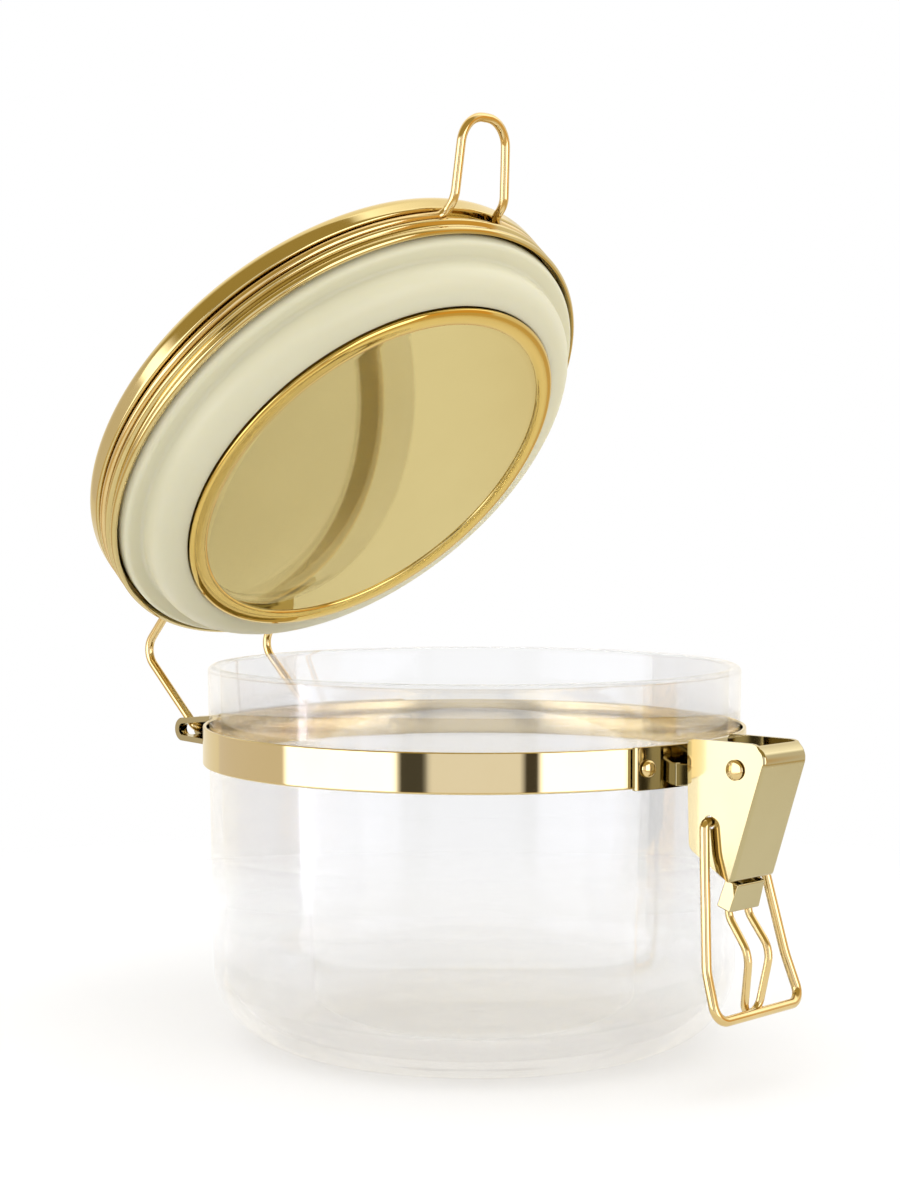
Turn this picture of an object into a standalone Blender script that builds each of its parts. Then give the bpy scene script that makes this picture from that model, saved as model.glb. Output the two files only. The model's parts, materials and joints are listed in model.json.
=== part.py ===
"""Clear clamp-lid canister: a moulded jar, a wire-hinged metal lid with a soft seal, and a lever latch.

Frame: origin at the middle of the jar's flat base, +Z up along the jar's axis, the latch towards -Y
and the hinge towards +Y. Lengths are in metres. The lid stands open at LID_OPEN_ANGLE.
"""

import math

import bmesh
import bpy
from mathutils import Matrix, Vector

# Fit
GAP = 0.0003                  # clearance between pieces that touch
BORE_GAP = 0.00035            # radial clearance of a wire or a pin in its hole
SWEEP_MARGIN = math.radians(2.0)      # how far a slot runs past the leg that swings in it
CUT_PAST = 0.0050             # how far a hole's cutter runs past what it cuts

# Jar
JAR_RADIUS = 0.0570           # outside, at the rim
JAR_HEIGHT = 0.0795
JAR_WALL = 0.0026
JAR_FLOOR = 0.0032
JAR_DRAFT = 0.0010            # how much narrower the wall is above the foot than at the rim
FOOT_FILLET = 0.0160
GATE_RADIUS = 0.0022          # moulding gate left inside the floor
GATE_HEIGHT = 0.0005

# Neck band
BAND_HEIGHT = 0.0081
BAND_BELOW_RIM = 0.0128       # rim to the band's top edge
BAND_SHEET = 0.0008

# Lid, measured with the lid closed
LID_LIFT = 0.0020             # rim to the cover's lower edge
COVER_OVERHANG = 0.0033       # cover radius beyond the jar's
COVER_HEIGHT = 0.0128
COVER_SHEET = 0.0008
COVER_ROUND = 0.0028          # rounding of the cover's upper edge
GROOVE_HEIGHT = 0.0058        # cover's lower edge to the middle of the wire groove
PANEL_INSET = 0.0133          # cover's edge to its sunken panel
PANEL_STEP = 0.0012           # the slope down to the panel
SEAL_DEPTH = 0.0092           # how far the seal reaches below the cover's lower edge
PLATE_INSET = 0.0106          # jar's outside to the polished inner plate, inside its rim bead
PLATE_BEAD = 0.0016           # how far the rim bead reaches below the seal
PLATE_RECESS = 0.0005         # the bead's lowest edge to the flat of the plate
PLATE_SHEET = 0.0008
LID_OPEN_ANGLE = math.radians(47.5)
LID_TRAVEL = math.radians(102.5)      # from closed to the stop

# Lid wire
WIRE = 0.0010                 # radius
HINGE_REACH = 0.0135          # hinge axis beyond the jar's radius
HINGE_BELOW_RIM = 0.0175
HINGE_BEND = 1.35             # bend radius over wire radius, where a leg meets its hinge end
LEG_SPACING = 0.0370          # between the two rear legs
LEG_SPREAD = 0.0055           # outwards from a rear leg to where the wire joins the groove
LEG_BENDS = (0.0045, 0.0035)
CATCH_WIDTH = 0.0130          # between the catch loop's legs
CATCH_SPLAY = 0.0012          # how much further out each leg starts
CATCH_SPREAD = 0.0050         # outwards from a catch leg to where the wire joins the groove
CATCH_BENDS = (0.0026, 0.0050)
CATCH_START = 0.0034          # cover's edge to the catch loop's upward bend
CATCH_LENGTH = 0.0175         # along the rising part
CATCH_RISE = math.radians(37.0)

# Hinge bracket
HINGE_PLATE = math.radians(30.24)     # half of the plate's round
HINGE_ROOT = math.radians(27.0)       # where the folded sheet leaves the plate
HINGE_RIVET_SPREAD = math.radians(24.84)
HINGE_WIDTH = 0.0450
HINGE_FOLD = 0.0027           # outside radius of the fold that holds the wire
BRACKET_SHEET = 0.0010
ROOT_DEPTH = 0.0010           # how far a fold or an ear is drawn into the plate that it grows from
PLATE_LIP = 0.0002            # how far a bracket's plate overlaps the band's edges
RIVET = 0.0009
RIVET_HEAD = 0.0017

# Latch
PIN_REACH = 0.0175            # lever pin beyond the jar's radius
PIN_BELOW_RIM = 0.0163
PIN = 0.0012
EAR_PLAY = 0.00045            # between each ear and the lever's cheek
EAR_RADIUS = 0.0031
EAR_FOOT = 0.0010             # the ear's lower edge leaves the plate level for this far
EAR_SHOULDER = 0.0020         # and its upper edge for this far
EAR_RISE = 0.56               # height of the ear's upper edge, as a share of the band
LATCH_WING = math.radians(15.5)
LATCH_RIVET_SPREAD = math.radians(12.4)
LEVER_WIDTH = 0.0138
LEVER_SHEET = 0.0009
LEVER_TILT = math.radians(17.8)
LEVER_DROP = 0.0215           # pin to the lever's lower end, along the web
LEVER_RISE = 0.0045           # pin to the start of the rounded top, along the web
LEVER_CROWN = 0.0028          # height of the rounded top
LEVER_TOP_RUN = 0.0034        # how far the web's line runs past the start of the rounded top
LEVER_ROUNDS = (0.0012, 0.0034, 0.0010, 0.0022)      # jar-side top, web top, web end, cheek's low corner
WEB_OFFSET = 0.0060           # pin to the web's outer face
LIP_START = 0.0010            # where the web's inner face turns into the top lip
LIP_REACH = 0.0012            # how far the lip runs back towards the jar, at its underside
LIP_SLOPE = 0.0010            # how much further back its edge leans
CHEEK_DEPTH = 0.0115          # pin to the cheeks' free edge
CHEEK_TAPER = 0.0004
CHEEK_BELOW_EYE = 0.0055
EYE_BACK = 0.0061             # catch link's eye, from the pin towards the jar
EYE_DROP = 0.0106             # and down
LINK_WIDTH = 0.0275           # catch link's bar
LINK_HANG = math.radians(11.0)
LINK_BOW = 0.0014             # how far the legs bow towards the jar
LINK_HOOK = 0.0021            # how far each end reaches in from the cheek's outer face
LINK_BEND = 1.3               # bend radius over wire radius, at the hooked ends
LINK_SHOULDER = (0.17, 0.0004)        # share of the length, and distance out from the leg's top
LINK_ELBOW = (0.74, 0.0010)           # share of the length, and distance in from the bar's end
LINK_ROUNDS = (0.012, 0.015, 0.0030)
CLIP_LENGTH = 0.0058
CLIP_WIDTH = 0.0086
CLIP_DEPTH = 0.0034
CLIP_WALL = 0.0009            # beside the finger loop's ends
FINGER_WIRE = 0.0008
FINGER_WIDTH = 0.0062
FINGER_LEAD = 0.0012          # straight stretch below the clip
FINGER_BELLY = (0.42, 0.0039)         # share of the way to the tip, and bow away from the jar
FINGER_SPLAY = (1.12, 0.75)           # half width at the belly and the tip, over that in the clip
FINGER_ROUNDS = (0.004, 0.006)

# Places that follow from the sizes above
BAND_TOP = JAR_HEIGHT - BAND_BELOW_RIM
BAND_BOTTOM = BAND_TOP - BAND_HEIGHT
BAND_MIDDLE = BAND_BOTTOM + BAND_HEIGHT / 2
BAND_OUTSIDE = JAR_RADIUS + GAP + BAND_SHEET
SADDLE_INSIDE = BAND_OUTSIDE + GAP
SADDLE_OUTSIDE = SADDLE_INSIDE + BRACKET_SHEET
SADDLE_MIDDLE = SADDLE_INSIDE + BRACKET_SHEET / 2
HINGE_Y = JAR_RADIUS + HINGE_REACH
HINGE_Z = JAR_HEIGHT - HINGE_BELOW_RIM
COVER_RADIUS = JAR_RADIUS + COVER_OVERHANG
COVER_BOTTOM = JAR_HEIGHT + LID_LIFT
GROOVE_Z = COVER_BOTTOM + GROOVE_HEIGHT
GROOVE_WIRE_RADIUS = COVER_RADIUS - WIRE
SEAL_BOTTOM = COVER_BOTTOM - SEAL_DEPTH
PLATE_RADIUS = JAR_RADIUS - PLATE_INSET
PLATE_BOTTOM = SEAL_BOTTOM - PLATE_BEAD
PIN_Y = -(JAR_RADIUS + PIN_REACH)
PIN_Z = JAR_HEIGHT - PIN_BELOW_RIM
EAR_OUTSIDE = LEVER_WIDTH - 2 * (LEVER_SHEET + EAR_PLAY)      # across the bracket's two ears
LEVER_SIDE = LEVER_WIDTH / 2
EYE_Y = PIN_Y + EYE_BACK
EYE_Z = PIN_Z - EYE_DROP
WEB_DOWN = Vector((math.sin(LEVER_TILT), -math.cos(LEVER_TILT)))     # (y, z) along the web
WEB_OUT = Vector((-math.cos(LEVER_TILT), -math.sin(LEVER_TILT)))     # (y, z) away from the jar
CATCH_BEND_Y = -(COVER_RADIUS + CATCH_START)
SEAT_OFFSET = 2.75 * WIRE
SEAT_Y = CATCH_BEND_Y + SEAT_OFFSET * math.sin(CATCH_RISE / 2)
SEAT_Z = GROOVE_Z + SEAT_OFFSET * math.cos(CATCH_RISE / 2)
LINK_LENGTH = math.hypot(SEAT_Y - EYE_Y, SEAT_Z - EYE_Z)
LINK_LEAN = math.asin((WIRE + FINGER_WIRE + GAP * 1.3) / LINK_LENGTH)

ROUND = 48                    # segments of a large round
SMALL = 20                    # segments of a pin or a rivet


def clear_scene():
    for obj in list(bpy.data.objects):
        bpy.data.objects.remove(obj, do_unlink=True)


def material(name, color, roughness, metallic, transmission=0.0):
    mat = bpy.data.materials.new(name)
    mat.use_nodes = True
    shader = mat.node_tree.nodes["Principled BSDF"]
    shader.inputs["Base Color"].default_value = (*color, 1.0)
    shader.inputs["Roughness"].default_value = roughness
    shader.inputs["Metallic"].default_value = metallic
    shader.inputs["Transmission Weight"].default_value = transmission
    return mat


def add_object(name, data, mat=None):
    obj = bpy.data.objects.new(name, data)
    bpy.context.scene.collection.objects.link(obj)
    if mat:
        obj.data.materials.append(mat)
    return obj


def add_empty(name, place, turn=0.0):
    obj = add_object(name, None)
    obj.location = place
    obj.rotation_euler = (turn, 0.0, 0.0)
    return obj


def hang(obj, axis):
    """Makes a piece, modelled in the object's frame, move with the empty on its joint's axis."""
    obj.parent = axis
    obj.location = [-value for value in axis.location]


def mesh_object(name, bm, mat, smooth=True):
    bmesh.ops.remove_doubles(bm, verts=bm.verts, dist=1e-7)
    bmesh.ops.recalc_face_normals(bm, faces=bm.faces)
    mesh = bpy.data.meshes.new(name)
    bm.to_mesh(mesh)
    bm.free()
    obj = add_object(name, mesh, mat)
    if smooth:
        mesh.shade_smooth()
        mesh.set_sharp_from_angle(angle=math.radians(35))
    return obj


def arc(center, radius, start, end, steps):
    """Points on an arc in a plane, from the start angle to the end angle, in degrees."""
    points = []
    for step in range(steps + 1):
        angle = math.radians(start + (end - start) * step / steps)
        points.append((center[0] + radius * math.cos(angle), center[1] + radius * math.sin(angle)))
    return points


def turned(name, profile, mat, closed=False, steps=ROUND):
    """A solid of revolution about Z from (radius, z) points; an open profile ends on the axis."""
    bm = bmesh.new()
    verts = [bm.verts.new((radius, 0.0, z)) for radius, z in profile]
    edges = [bm.edges.new(pair) for pair in zip(verts, verts[1:])]
    if closed:
        edges.append(bm.edges.new((verts[-1], verts[0])))
    bmesh.ops.spin(bm, geom=verts + edges, axis=(0, 0, 1), cent=(0, 0, 0), steps=steps,
                   angle=math.tau, use_merge=True)
    bmesh.ops.remove_doubles(bm, verts=bm.verts, dist=1e-6)
    return mesh_object(name, bm, mat)


def prism(name, outline, x_low, x_high, mat=None):
    """A flat (y, z) outline carried from x_low to x_high."""
    bm = bmesh.new()
    face = bm.faces.new([bm.verts.new((x_low, y, z)) for y, z in outline])
    grown = bmesh.ops.extrude_face_region(bm, geom=[face])
    moved = [item for item in grown["geom"] if isinstance(item, bmesh.types.BMVert)]
    bmesh.ops.translate(bm, verts=moved, vec=(x_high - x_low, 0.0, 0.0))
    return mesh_object(name, bm, mat, smooth=False)


def rod(name, start, end, radius, mat=None, steps=SMALL):
    """A round bar between two points."""
    start, end = Vector(start), Vector(end)
    along = end - start
    turn = along.to_track_quat("Z", "Y").to_matrix().to_4x4()
    bm = bmesh.new()
    bmesh.ops.create_cone(bm, cap_ends=True, segments=steps, radius1=radius, radius2=radius,
                          depth=along.length, matrix=Matrix.Translation((start + end) / 2) @ turn)
    return mesh_object(name, bm, mat)


def saddle(name, half_angle, center_angle, z_low, z_high, inside, outside, mat=None):
    """A strip that follows the band over part of its round."""
    steps = 12
    bm = bmesh.new()
    rings = []
    for step in range(steps + 1):
        angle = center_angle + half_angle * (2.0 * step / steps - 1.0)
        across = Vector((math.cos(angle), math.sin(angle), 0.0))
        corners = ((inside, z_low), (outside, z_low), (outside, z_high), (inside, z_high))
        rings.append([bm.verts.new(across * radius + Vector((0, 0, z))) for radius, z in corners])
    for low, high in zip(rings, rings[1:]):
        for side in range(4):
            follow = (side + 1) % 4
            bm.faces.new((low[side], low[follow], high[follow], high[side]))
    bm.faces.new(rings[0])
    bm.faces.new(rings[-1])
    return mesh_object(name, bm, mat)


def combine(obj, other, operation):
    """A Boolean with a hidden guide object."""
    other.hide_render = True
    other.display_type = "WIRE"
    step = obj.modifiers.new(other.name, "BOOLEAN")
    step.operation = operation
    step.solver = "EXACT"
    step.object = other


def round_corners(points, radii, steps=5):
    """A path through the corner points, with each inner corner rounded to its radius."""
    path = [Vector(points[0])]
    for before, corner, after, radius in zip(points, points[1:], points[2:], radii):
        before, corner, after = Vector(before), Vector(corner), Vector(after)
        back, ahead = (before - corner).normalized(), (after - corner).normalized()
        half = back.angle(ahead) / 2
        if radius == 0 or half > math.radians(89):
            path.append(corner)
            continue
        reach = radius / math.tan(half)
        center = corner + (back + ahead).normalized() * radius / math.sin(half)
        first, last = corner + back * reach - center, corner + ahead * reach - center
        turn = first.angle(last)
        for step in range(steps + 1):
            share = step / steps
            spoke = first * math.sin((1 - share) * turn) + last * math.sin(share * turn)
            path.append(center + spoke / math.sin(turn))
    path.append(Vector(points[-1]))
    return path


def wire(name, path, radius, mat, closed=False):
    """A round wire along a path."""
    curve = bpy.data.curves.new(name, "CURVE")
    curve.dimensions = "3D"
    curve.bevel_depth = radius
    curve.bevel_resolution = 2
    curve.use_fill_caps = not closed
    spline = curve.splines.new("POLY")
    spline.points.add(len(path) - 1)
    spline.use_cyclic_u = closed
    for point, place in zip(spline.points, path):
        point.co = (*place, 1.0)
    return add_object(name, curve, mat)


def on_web(along, out):
    """A (y, z) point measured from the lever pin: along the web downwards, and outwards from it."""
    place = Vector((PIN_Y, PIN_Z)) + WEB_DOWN * along + WEB_OUT * out
    return (place.x, place.y)


# Jar and band

def jar_outside(z):
    """The jar's outside radius above the foot fillet."""
    share = (JAR_HEIGHT - z) / (JAR_HEIGHT - FOOT_FILLET)
    return JAR_RADIUS - JAR_DRAFT * share


def make_jar(mat):
    foot = jar_outside(FOOT_FILLET) - FOOT_FILLET
    inner_fillet = FOOT_FILLET - JAR_WALL
    lip = JAR_WALL * 0.42
    profile = [(0.0, 0.0), (foot, 0.0)]
    profile += arc((foot, FOOT_FILLET), FOOT_FILLET, -80, 0, 8)
    profile += arc((JAR_RADIUS - lip, JAR_HEIGHT - lip), lip, 0, 90, 3)
    profile += arc((JAR_RADIUS - JAR_WALL + lip, JAR_HEIGHT - lip), lip, 90, 180, 3)
    profile += arc((foot, JAR_FLOOR + inner_fillet), inner_fillet, 0, -90, 7)
    profile += [(GATE_RADIUS * 1.4, JAR_FLOOR), (GATE_RADIUS, JAR_FLOOR + GATE_HEIGHT)]
    profile += [(0.0, JAR_FLOOR + GATE_HEIGHT)]
    return turned("jar_body", profile, mat)


def around(angle, radius, z):
    return Vector((radius * math.cos(angle), radius * math.sin(angle), z))


HINGE_RIVETS = [math.pi / 2 + side * HINGE_RIVET_SPREAD for side in (-1, 1)]
LATCH_RIVETS = [-math.pi / 2 + side * LATCH_RIVET_SPREAD for side in (-1, 1)]


def jar_side(name):
    """Everything nearer the jar's axis than the middle of a bracket's plate."""
    low, high = BAND_BOTTOM - CUT_PAST, BAND_TOP + CUT_PAST
    return rod(name, (0, 0, low), (0, 0, high), SADDLE_MIDDLE, steps=ROUND * 2)


def rivet_hole(name, angle):
    return rod(name, around(angle, JAR_RADIUS - CUT_PAST, BAND_MIDDLE),
               around(angle, SADDLE_OUTSIDE + CUT_PAST, BAND_MIDDLE), RIVET + GAP, steps=12)


def make_band(mat):
    inside = JAR_RADIUS + GAP
    profile = [(inside, BAND_BOTTOM), (BAND_OUTSIDE, BAND_BOTTOM), (BAND_OUTSIDE, BAND_TOP), (inside, BAND_TOP)]
    band = turned("neck_band", profile, mat, closed=True)
    for number, angle in enumerate(HINGE_RIVETS + LATCH_RIVETS):
        combine(band, rivet_hole(f"band_hole_{number}", angle), "DIFFERENCE")
    return band


def make_rivet(name, angle, mat):
    """A button head outside the bracket and a shank that ends inside the band's thickness."""
    head_height = RIVET_HEAD * 0.5
    base = SADDLE_OUTSIDE + GAP
    profile = [(0.0, BAND_OUTSIDE - BAND_SHEET * 0.8), (RIVET, BAND_OUTSIDE - BAND_SHEET * 0.8)]
    profile += [(RIVET, base), (RIVET_HEAD, base), (RIVET_HEAD, base + head_height * 0.3)]
    profile += [(RIVET_HEAD * 0.72, base + head_height * 0.8), (0.0, base + head_height)]
    rivet = turned(name, profile, mat, steps=SMALL)
    tip = Matrix.Rotation(angle, 4, "Z") @ Matrix.Rotation(math.pi / 2, 4, "Y")
    rivet.data.transform(Matrix.Translation((0, 0, BAND_MIDDLE)) @ tip)
    return rivet


# Hinge bracket

def fold_outline(radius, root_y, root_low, root_high):
    """A wedge that narrows from its root at the band to a round fold about the hinge axis."""
    outline = [(root_y, root_low)]
    outline += arc((HINGE_Y, HINGE_Z), radius, -75, 75, 8)
    outline += [(root_y, root_high)]
    return outline


def slot_outline():
    """The sweep of a rear leg about the hinge axis, from closed to fully open."""
    clear = WIRE + BORE_GAP
    reach = HINGE_FOLD * 2
    first, last = math.pi / 2 + SWEEP_MARGIN, math.pi / 2 - LID_TRAVEL - SWEEP_MARGIN
    outline = []
    for angle, side in ((first, 1), (last, -1)):
        along = Vector((math.cos(angle), math.sin(angle)))
        across = Vector((-along.y, along.x)) * side * clear
        near = Vector((HINGE_Y, HINGE_Z)) + across
        outline.append([tuple(near), tuple(near + along * reach)])
    middle = arc((HINGE_Y, HINGE_Z), reach * 1.2, math.degrees(first), math.degrees(last), 8)
    return outline[0] + middle + outline[1][::-1]


def make_hinge_bracket(mat):
    half = HINGE_WIDTH / 2
    root = SADDLE_INSIDE * math.cos(HINGE_ROOT) - ROOT_DEPTH
    sheet = BRACKET_SHEET
    bracket = prism("hinge_bracket", fold_outline(HINGE_FOLD, root, BAND_BOTTOM, BAND_TOP), -half, half, mat)
    hollow = fold_outline(WIRE + BORE_GAP, root, BAND_BOTTOM + sheet, BAND_TOP - sheet)
    combine(bracket, prism("hinge_hollow", hollow, -half - sheet, half + sheet), "DIFFERENCE")
    combine(bracket, jar_side("hinge_jar_side"), "DIFFERENCE")
    plate = saddle("hinge_plate", HINGE_PLATE, math.pi / 2, BAND_BOTTOM - PLATE_LIP, BAND_TOP + PLATE_LIP,
                   SADDLE_INSIDE, SADDLE_OUTSIDE)
    combine(bracket, plate, "UNION")
    slot = (WIRE + BORE_GAP) * 1.15
    for side in (-1, 1):
        middle = side * LEG_SPACING / 2
        cutter = prism(f"hinge_slot_{side}", slot_outline(), middle - slot, middle + slot)
        combine(bracket, cutter, "DIFFERENCE")
        bore = rod(f"hinge_bore_{side}", (middle - slot, HINGE_Y, HINGE_Z), (middle + slot, HINGE_Y, HINGE_Z),
                   WIRE + BORE_GAP)
        combine(bracket, bore, "DIFFERENCE")
    for number, angle in enumerate(HINGE_RIVETS):
        combine(bracket, rivet_hole(f"hinge_hole_{number}", angle), "DIFFERENCE")
    return bracket


# Lid, modelled closed

def make_cover(mat):
    bottom, top = COVER_BOTTOM, COVER_BOTTOM + COVER_HEIGHT
    outside, sheet = COVER_RADIUS, COVER_SHEET
    groove = GROOVE_WIRE_RADIUS - WIRE - GAP
    mouth = WIRE + GAP * 1.5
    neck = outside - sheet * 1.1
    outer = [(outside - sheet * 0.5, bottom), (outside, bottom + sheet * 0.6), (outside, bottom + sheet * 2.2)]
    outer += [(neck, bottom + sheet * 3.0), (outside, GROOVE_Z - mouth - sheet), (outside, GROOVE_Z - mouth)]
    outer += [(groove, GROOVE_Z - mouth * 0.9), (groove, GROOVE_Z + mouth * 0.9)]
    outer += [(outside, GROOVE_Z + mouth), (outside, top - COVER_ROUND)]
    outer += arc((outside - COVER_ROUND, top - COVER_ROUND), COVER_ROUND, 15, 90, 5)
    panel = outside - PANEL_INSET
    outer += [(panel + PANEL_STEP, top), (panel, top - sheet * 0.6), (0.0, top - sheet * 0.6)]
    lining = groove - sheet
    inner = [(0.0, top - sheet * 1.6), (lining - COVER_ROUND * 0.4, top - sheet * 1.6)]
    inner += [(lining, top - sheet * 1.6 - COVER_ROUND * 0.4), (lining, GROOVE_Z - mouth * 1.4)]
    inner += [(outside - sheet * 2.2, bottom + sheet * 3.4), (outside - sheet * 1.5, bottom + sheet * 0.5)]
    inner += [(outside - sheet * 1.5, bottom)]
    return turned("lid_cover", inner + outer, mat)


def make_plate(mat):
    """The polished inner plate: a flat disc with a rolled rim bead and a skirt that stands up to the cover."""
    inside, outside = PLATE_RADIUS, PLATE_RADIUS + PLATE_SHEET
    flat_low = PLATE_BOTTOM + PLATE_RECESS
    flat_high = flat_low + PLATE_SHEET
    skirt_top = COVER_BOTTOM + COVER_HEIGHT - COVER_SHEET * 1.6 - GAP
    bead = PLATE_SHEET * 0.95
    corner = PLATE_SHEET * 0.5
    profile = [(0.0, flat_low), (inside - corner, flat_low)]
    profile += arc((inside + bead, PLATE_BOTTOM + bead), bead, 215, 360, 6)
    profile += [(inside + bead * 2, SEAL_BOTTOM - GAP), (outside, SEAL_BOTTOM - GAP), (outside, skirt_top)]
    profile += [(inside, skirt_top), (inside, flat_high + corner), (inside - corner, flat_high), (0.0, flat_high)]
    return turned("lid_plate", profile, mat)


def swing_limit(z):
    """The largest seal radius at a height that swings past the rim's inner edge without touching it."""
    corner = math.hypot(HINGE_Y - (JAR_RADIUS - JAR_WALL), JAR_HEIGHT - HINGE_Z)
    reach = corner + GAP * 2.5
    return HINGE_Y - math.sqrt(reach ** 2 - (z - HINGE_Z) ** 2)


def make_seal(mat):
    """A soft ring between the plate and the cover: a tapered plug below a shoulder that meets the rim."""
    inside = PLATE_RADIUS + PLATE_SHEET + GAP
    shoulder = JAR_HEIGHT + GAP * 1.5
    groove = GROOVE_WIRE_RADIUS - WIRE - GAP
    outside = COVER_RADIUS - COVER_SHEET * 1.5 - GAP * 2
    top = GROOVE_Z - (WIRE + GAP * 1.5) * 1.4
    steps = 7
    profile = [(inside, SEAL_BOTTOM), (swing_limit(SEAL_BOTTOM) - GAP * 2, SEAL_BOTTOM)]
    for step in range(1, steps + 1):
        z = SEAL_BOTTOM + (JAR_HEIGHT - GAP * 2 - SEAL_BOTTOM) * step / steps
        profile.append((swing_limit(z), z))
    profile += [(JAR_RADIUS - JAR_WALL, shoulder), (outside - COVER_SHEET, shoulder)]
    profile += [(outside, shoulder + COVER_SHEET), (outside, COVER_BOTTOM + COVER_SHEET * 0.5)]
    profile += [(groove - COVER_SHEET - GAP * 4, COVER_BOTTOM + COVER_SHEET * 3.2)]
    profile += [(groove - COVER_SHEET - GAP * 4, top), (inside, top)]
    return turned("lid_gasket", profile, mat, closed=True)


def ring_walk(start, end, steps):
    """Points on the wire's round in the groove; angles run from +Y towards +X."""
    places = []
    for step in range(steps + 1):
        angle = start + (end - start) * step / steps
        places.append((GROOVE_WIRE_RADIUS * math.sin(angle), GROOVE_WIRE_RADIUS * math.cos(angle), GROOVE_Z))
    return places


def tangent_corner(angle, x):
    """Where the tangent of the round at an angle meets the line of a leg at x."""
    place_x, place_y = GROOVE_WIRE_RADIUS * math.sin(angle), GROOVE_WIRE_RADIUS * math.cos(angle)
    run = (place_x - x) / math.cos(angle)
    return (x, place_y + math.sin(angle) * run, GROOVE_Z)


def half_lid_wire():
    """The lid wire from the hinge to the middle of the catch loop, on the +X side."""
    leg, catch = LEG_SPACING / 2, CATCH_WIDTH / 2
    foot = catch + CATCH_SPLAY
    rear = math.asin((leg + LEG_SPREAD) / GROOVE_WIRE_RADIUS)
    front = math.pi - math.asin((foot + CATCH_SPREAD) / GROOVE_WIRE_RADIUS)
    round_part = ring_walk(rear, front, 22)
    rise_y = -CATCH_LENGTH * math.cos(CATCH_RISE)
    rise_z = CATCH_LENGTH * math.sin(CATCH_RISE)
    start = [(leg * 0.45, HINGE_Y, HINGE_Z), (leg, HINGE_Y, HINGE_Z)]
    start += [(leg, HINGE_Y, GROOVE_Z), tangent_corner(rear, leg), round_part[0]]
    end = [round_part[-1], tangent_corner(front, foot), (foot, CATCH_BEND_Y, GROOVE_Z)]
    end += [(catch, CATCH_BEND_Y + rise_y, GROOVE_Z + rise_z), (0.0, CATCH_BEND_Y + rise_y, GROOVE_Z + rise_z)]
    first = round_corners(start, [WIRE * HINGE_BEND, *LEG_BENDS])
    last = round_corners(end, [*CATCH_BENDS, catch * 0.95], 6)
    return first[:-1] + [Vector(place) for place in round_part] + last[1:]


def make_lid_wire(mat):
    half = half_lid_wire()
    mirrored = [Vector((-place.x, place.y, place.z)) for place in reversed(half[:-1])]
    return wire("lid_wire", half + mirrored, WIRE, mat)


# Latch

def ear_outline():
    """A bracket ear: a round end about the lever pin on an arm that comes up from the band."""
    root = -(SADDLE_INSIDE * math.cos(LATCH_WING) - ROOT_DEPTH)
    low, high = BAND_BOTTOM + PLATE_LIP, BAND_BOTTOM + BAND_HEIGHT * EAR_RISE
    outline = [(root, low), (-(SADDLE_OUTSIDE + EAR_FOOT), low)]
    outline += arc((PIN_Y, PIN_Z), EAR_RADIUS, 285, 92, 10)
    outline += [(-(SADDLE_OUTSIDE + EAR_SHOULDER), high), (root, high)]
    return outline


def make_latch_bracket(mat):
    outside, sheet = EAR_OUTSIDE / 2, BRACKET_SHEET
    bracket = saddle("latch_bracket", LATCH_WING, -math.pi / 2, BAND_BOTTOM - PLATE_LIP, BAND_TOP + PLATE_LIP,
                     SADDLE_INSIDE, SADDLE_OUTSIDE, mat)
    for side in (-1, 1):
        low, high = sorted((side * outside, side * (outside - sheet)))
        ear = prism(f"latch_ear_{side}", ear_outline(), low, high)
        combine(ear, jar_side(f"latch_jar_side_{side}"), "DIFFERENCE")
        combine(bracket, ear, "UNION")
    hole = rod("latch_pin_hole", (-outside - sheet, PIN_Y, PIN_Z), (outside + sheet, PIN_Y, PIN_Z), PIN + BORE_GAP)
    combine(bracket, hole, "DIFFERENCE")
    for number, angle in enumerate(LATCH_RIVETS):
        combine(bracket, rivet_hole(f"latch_hole_{number}", angle), "DIFFERENCE")
    return bracket


def lever_top():
    return on_web(-LEVER_RISE, WEB_OFFSET)[1] + LEVER_CROWN


def lever_outline():
    """The side of the lever: cheeks from the web to their free edge, with a rounded top."""
    free_edge, top = PIN_Y + CHEEK_DEPTH, lever_top()
    web_top = on_web(-LEVER_RISE - LEVER_TOP_RUN, WEB_OFFSET)
    web_bottom = on_web(LEVER_DROP, WEB_OFFSET)
    corners = [(free_edge, PIN_Z), (free_edge, top), (web_top[0], top), web_bottom,
               (free_edge - CHEEK_TAPER, EYE_Z - CHEEK_BELOW_EYE), (free_edge, PIN_Z)]
    rounded = round_corners([(0.0, y, z) for y, z in corners], LEVER_ROUNDS, 4)
    return [(place.y, place.z) for place in rounded[:-1]]


def lever_pocket():
    """What is cut from the lever between its cheeks, leaving the web and its rounded top."""
    inner, top = WEB_OFFSET - LEVER_SHEET, lever_top()
    lip_y = on_web(-LEVER_RISE, inner)[0] + LIP_REACH
    past_y, past_z = PIN_Y + CHEEK_DEPTH + CUT_PAST, top + CUT_PAST
    lean = LIP_SLOPE * (past_z - top + LEVER_SHEET * 1.6) / (LEVER_SHEET * 3.8)
    return [(past_y, PIN_Z - LEVER_DROP - CUT_PAST), on_web(LEVER_DROP + CUT_PAST, inner),
            on_web(-LEVER_RISE + LIP_START, inner), (lip_y, top - LEVER_SHEET * 1.6),
            (lip_y + lean, past_z), (past_y, past_z)]


def make_lever(mat):
    half = LEVER_SIDE
    lever = prism("latch_lever", lever_outline(), -half, half, mat)
    combine(lever, prism("lever_pocket", lever_pocket(), LEVER_SHEET - half, half - LEVER_SHEET), "DIFFERENCE")
    for name, y, z, radius in (("lever_pin_hole", PIN_Y, PIN_Z, PIN), ("lever_eye_hole", EYE_Y, EYE_Z, WIRE)):
        combine(lever, rod(name, (-half * 1.5, y, z), (half * 1.5, y, z), radius + BORE_GAP), "DIFFERENCE")
    return lever


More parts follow.
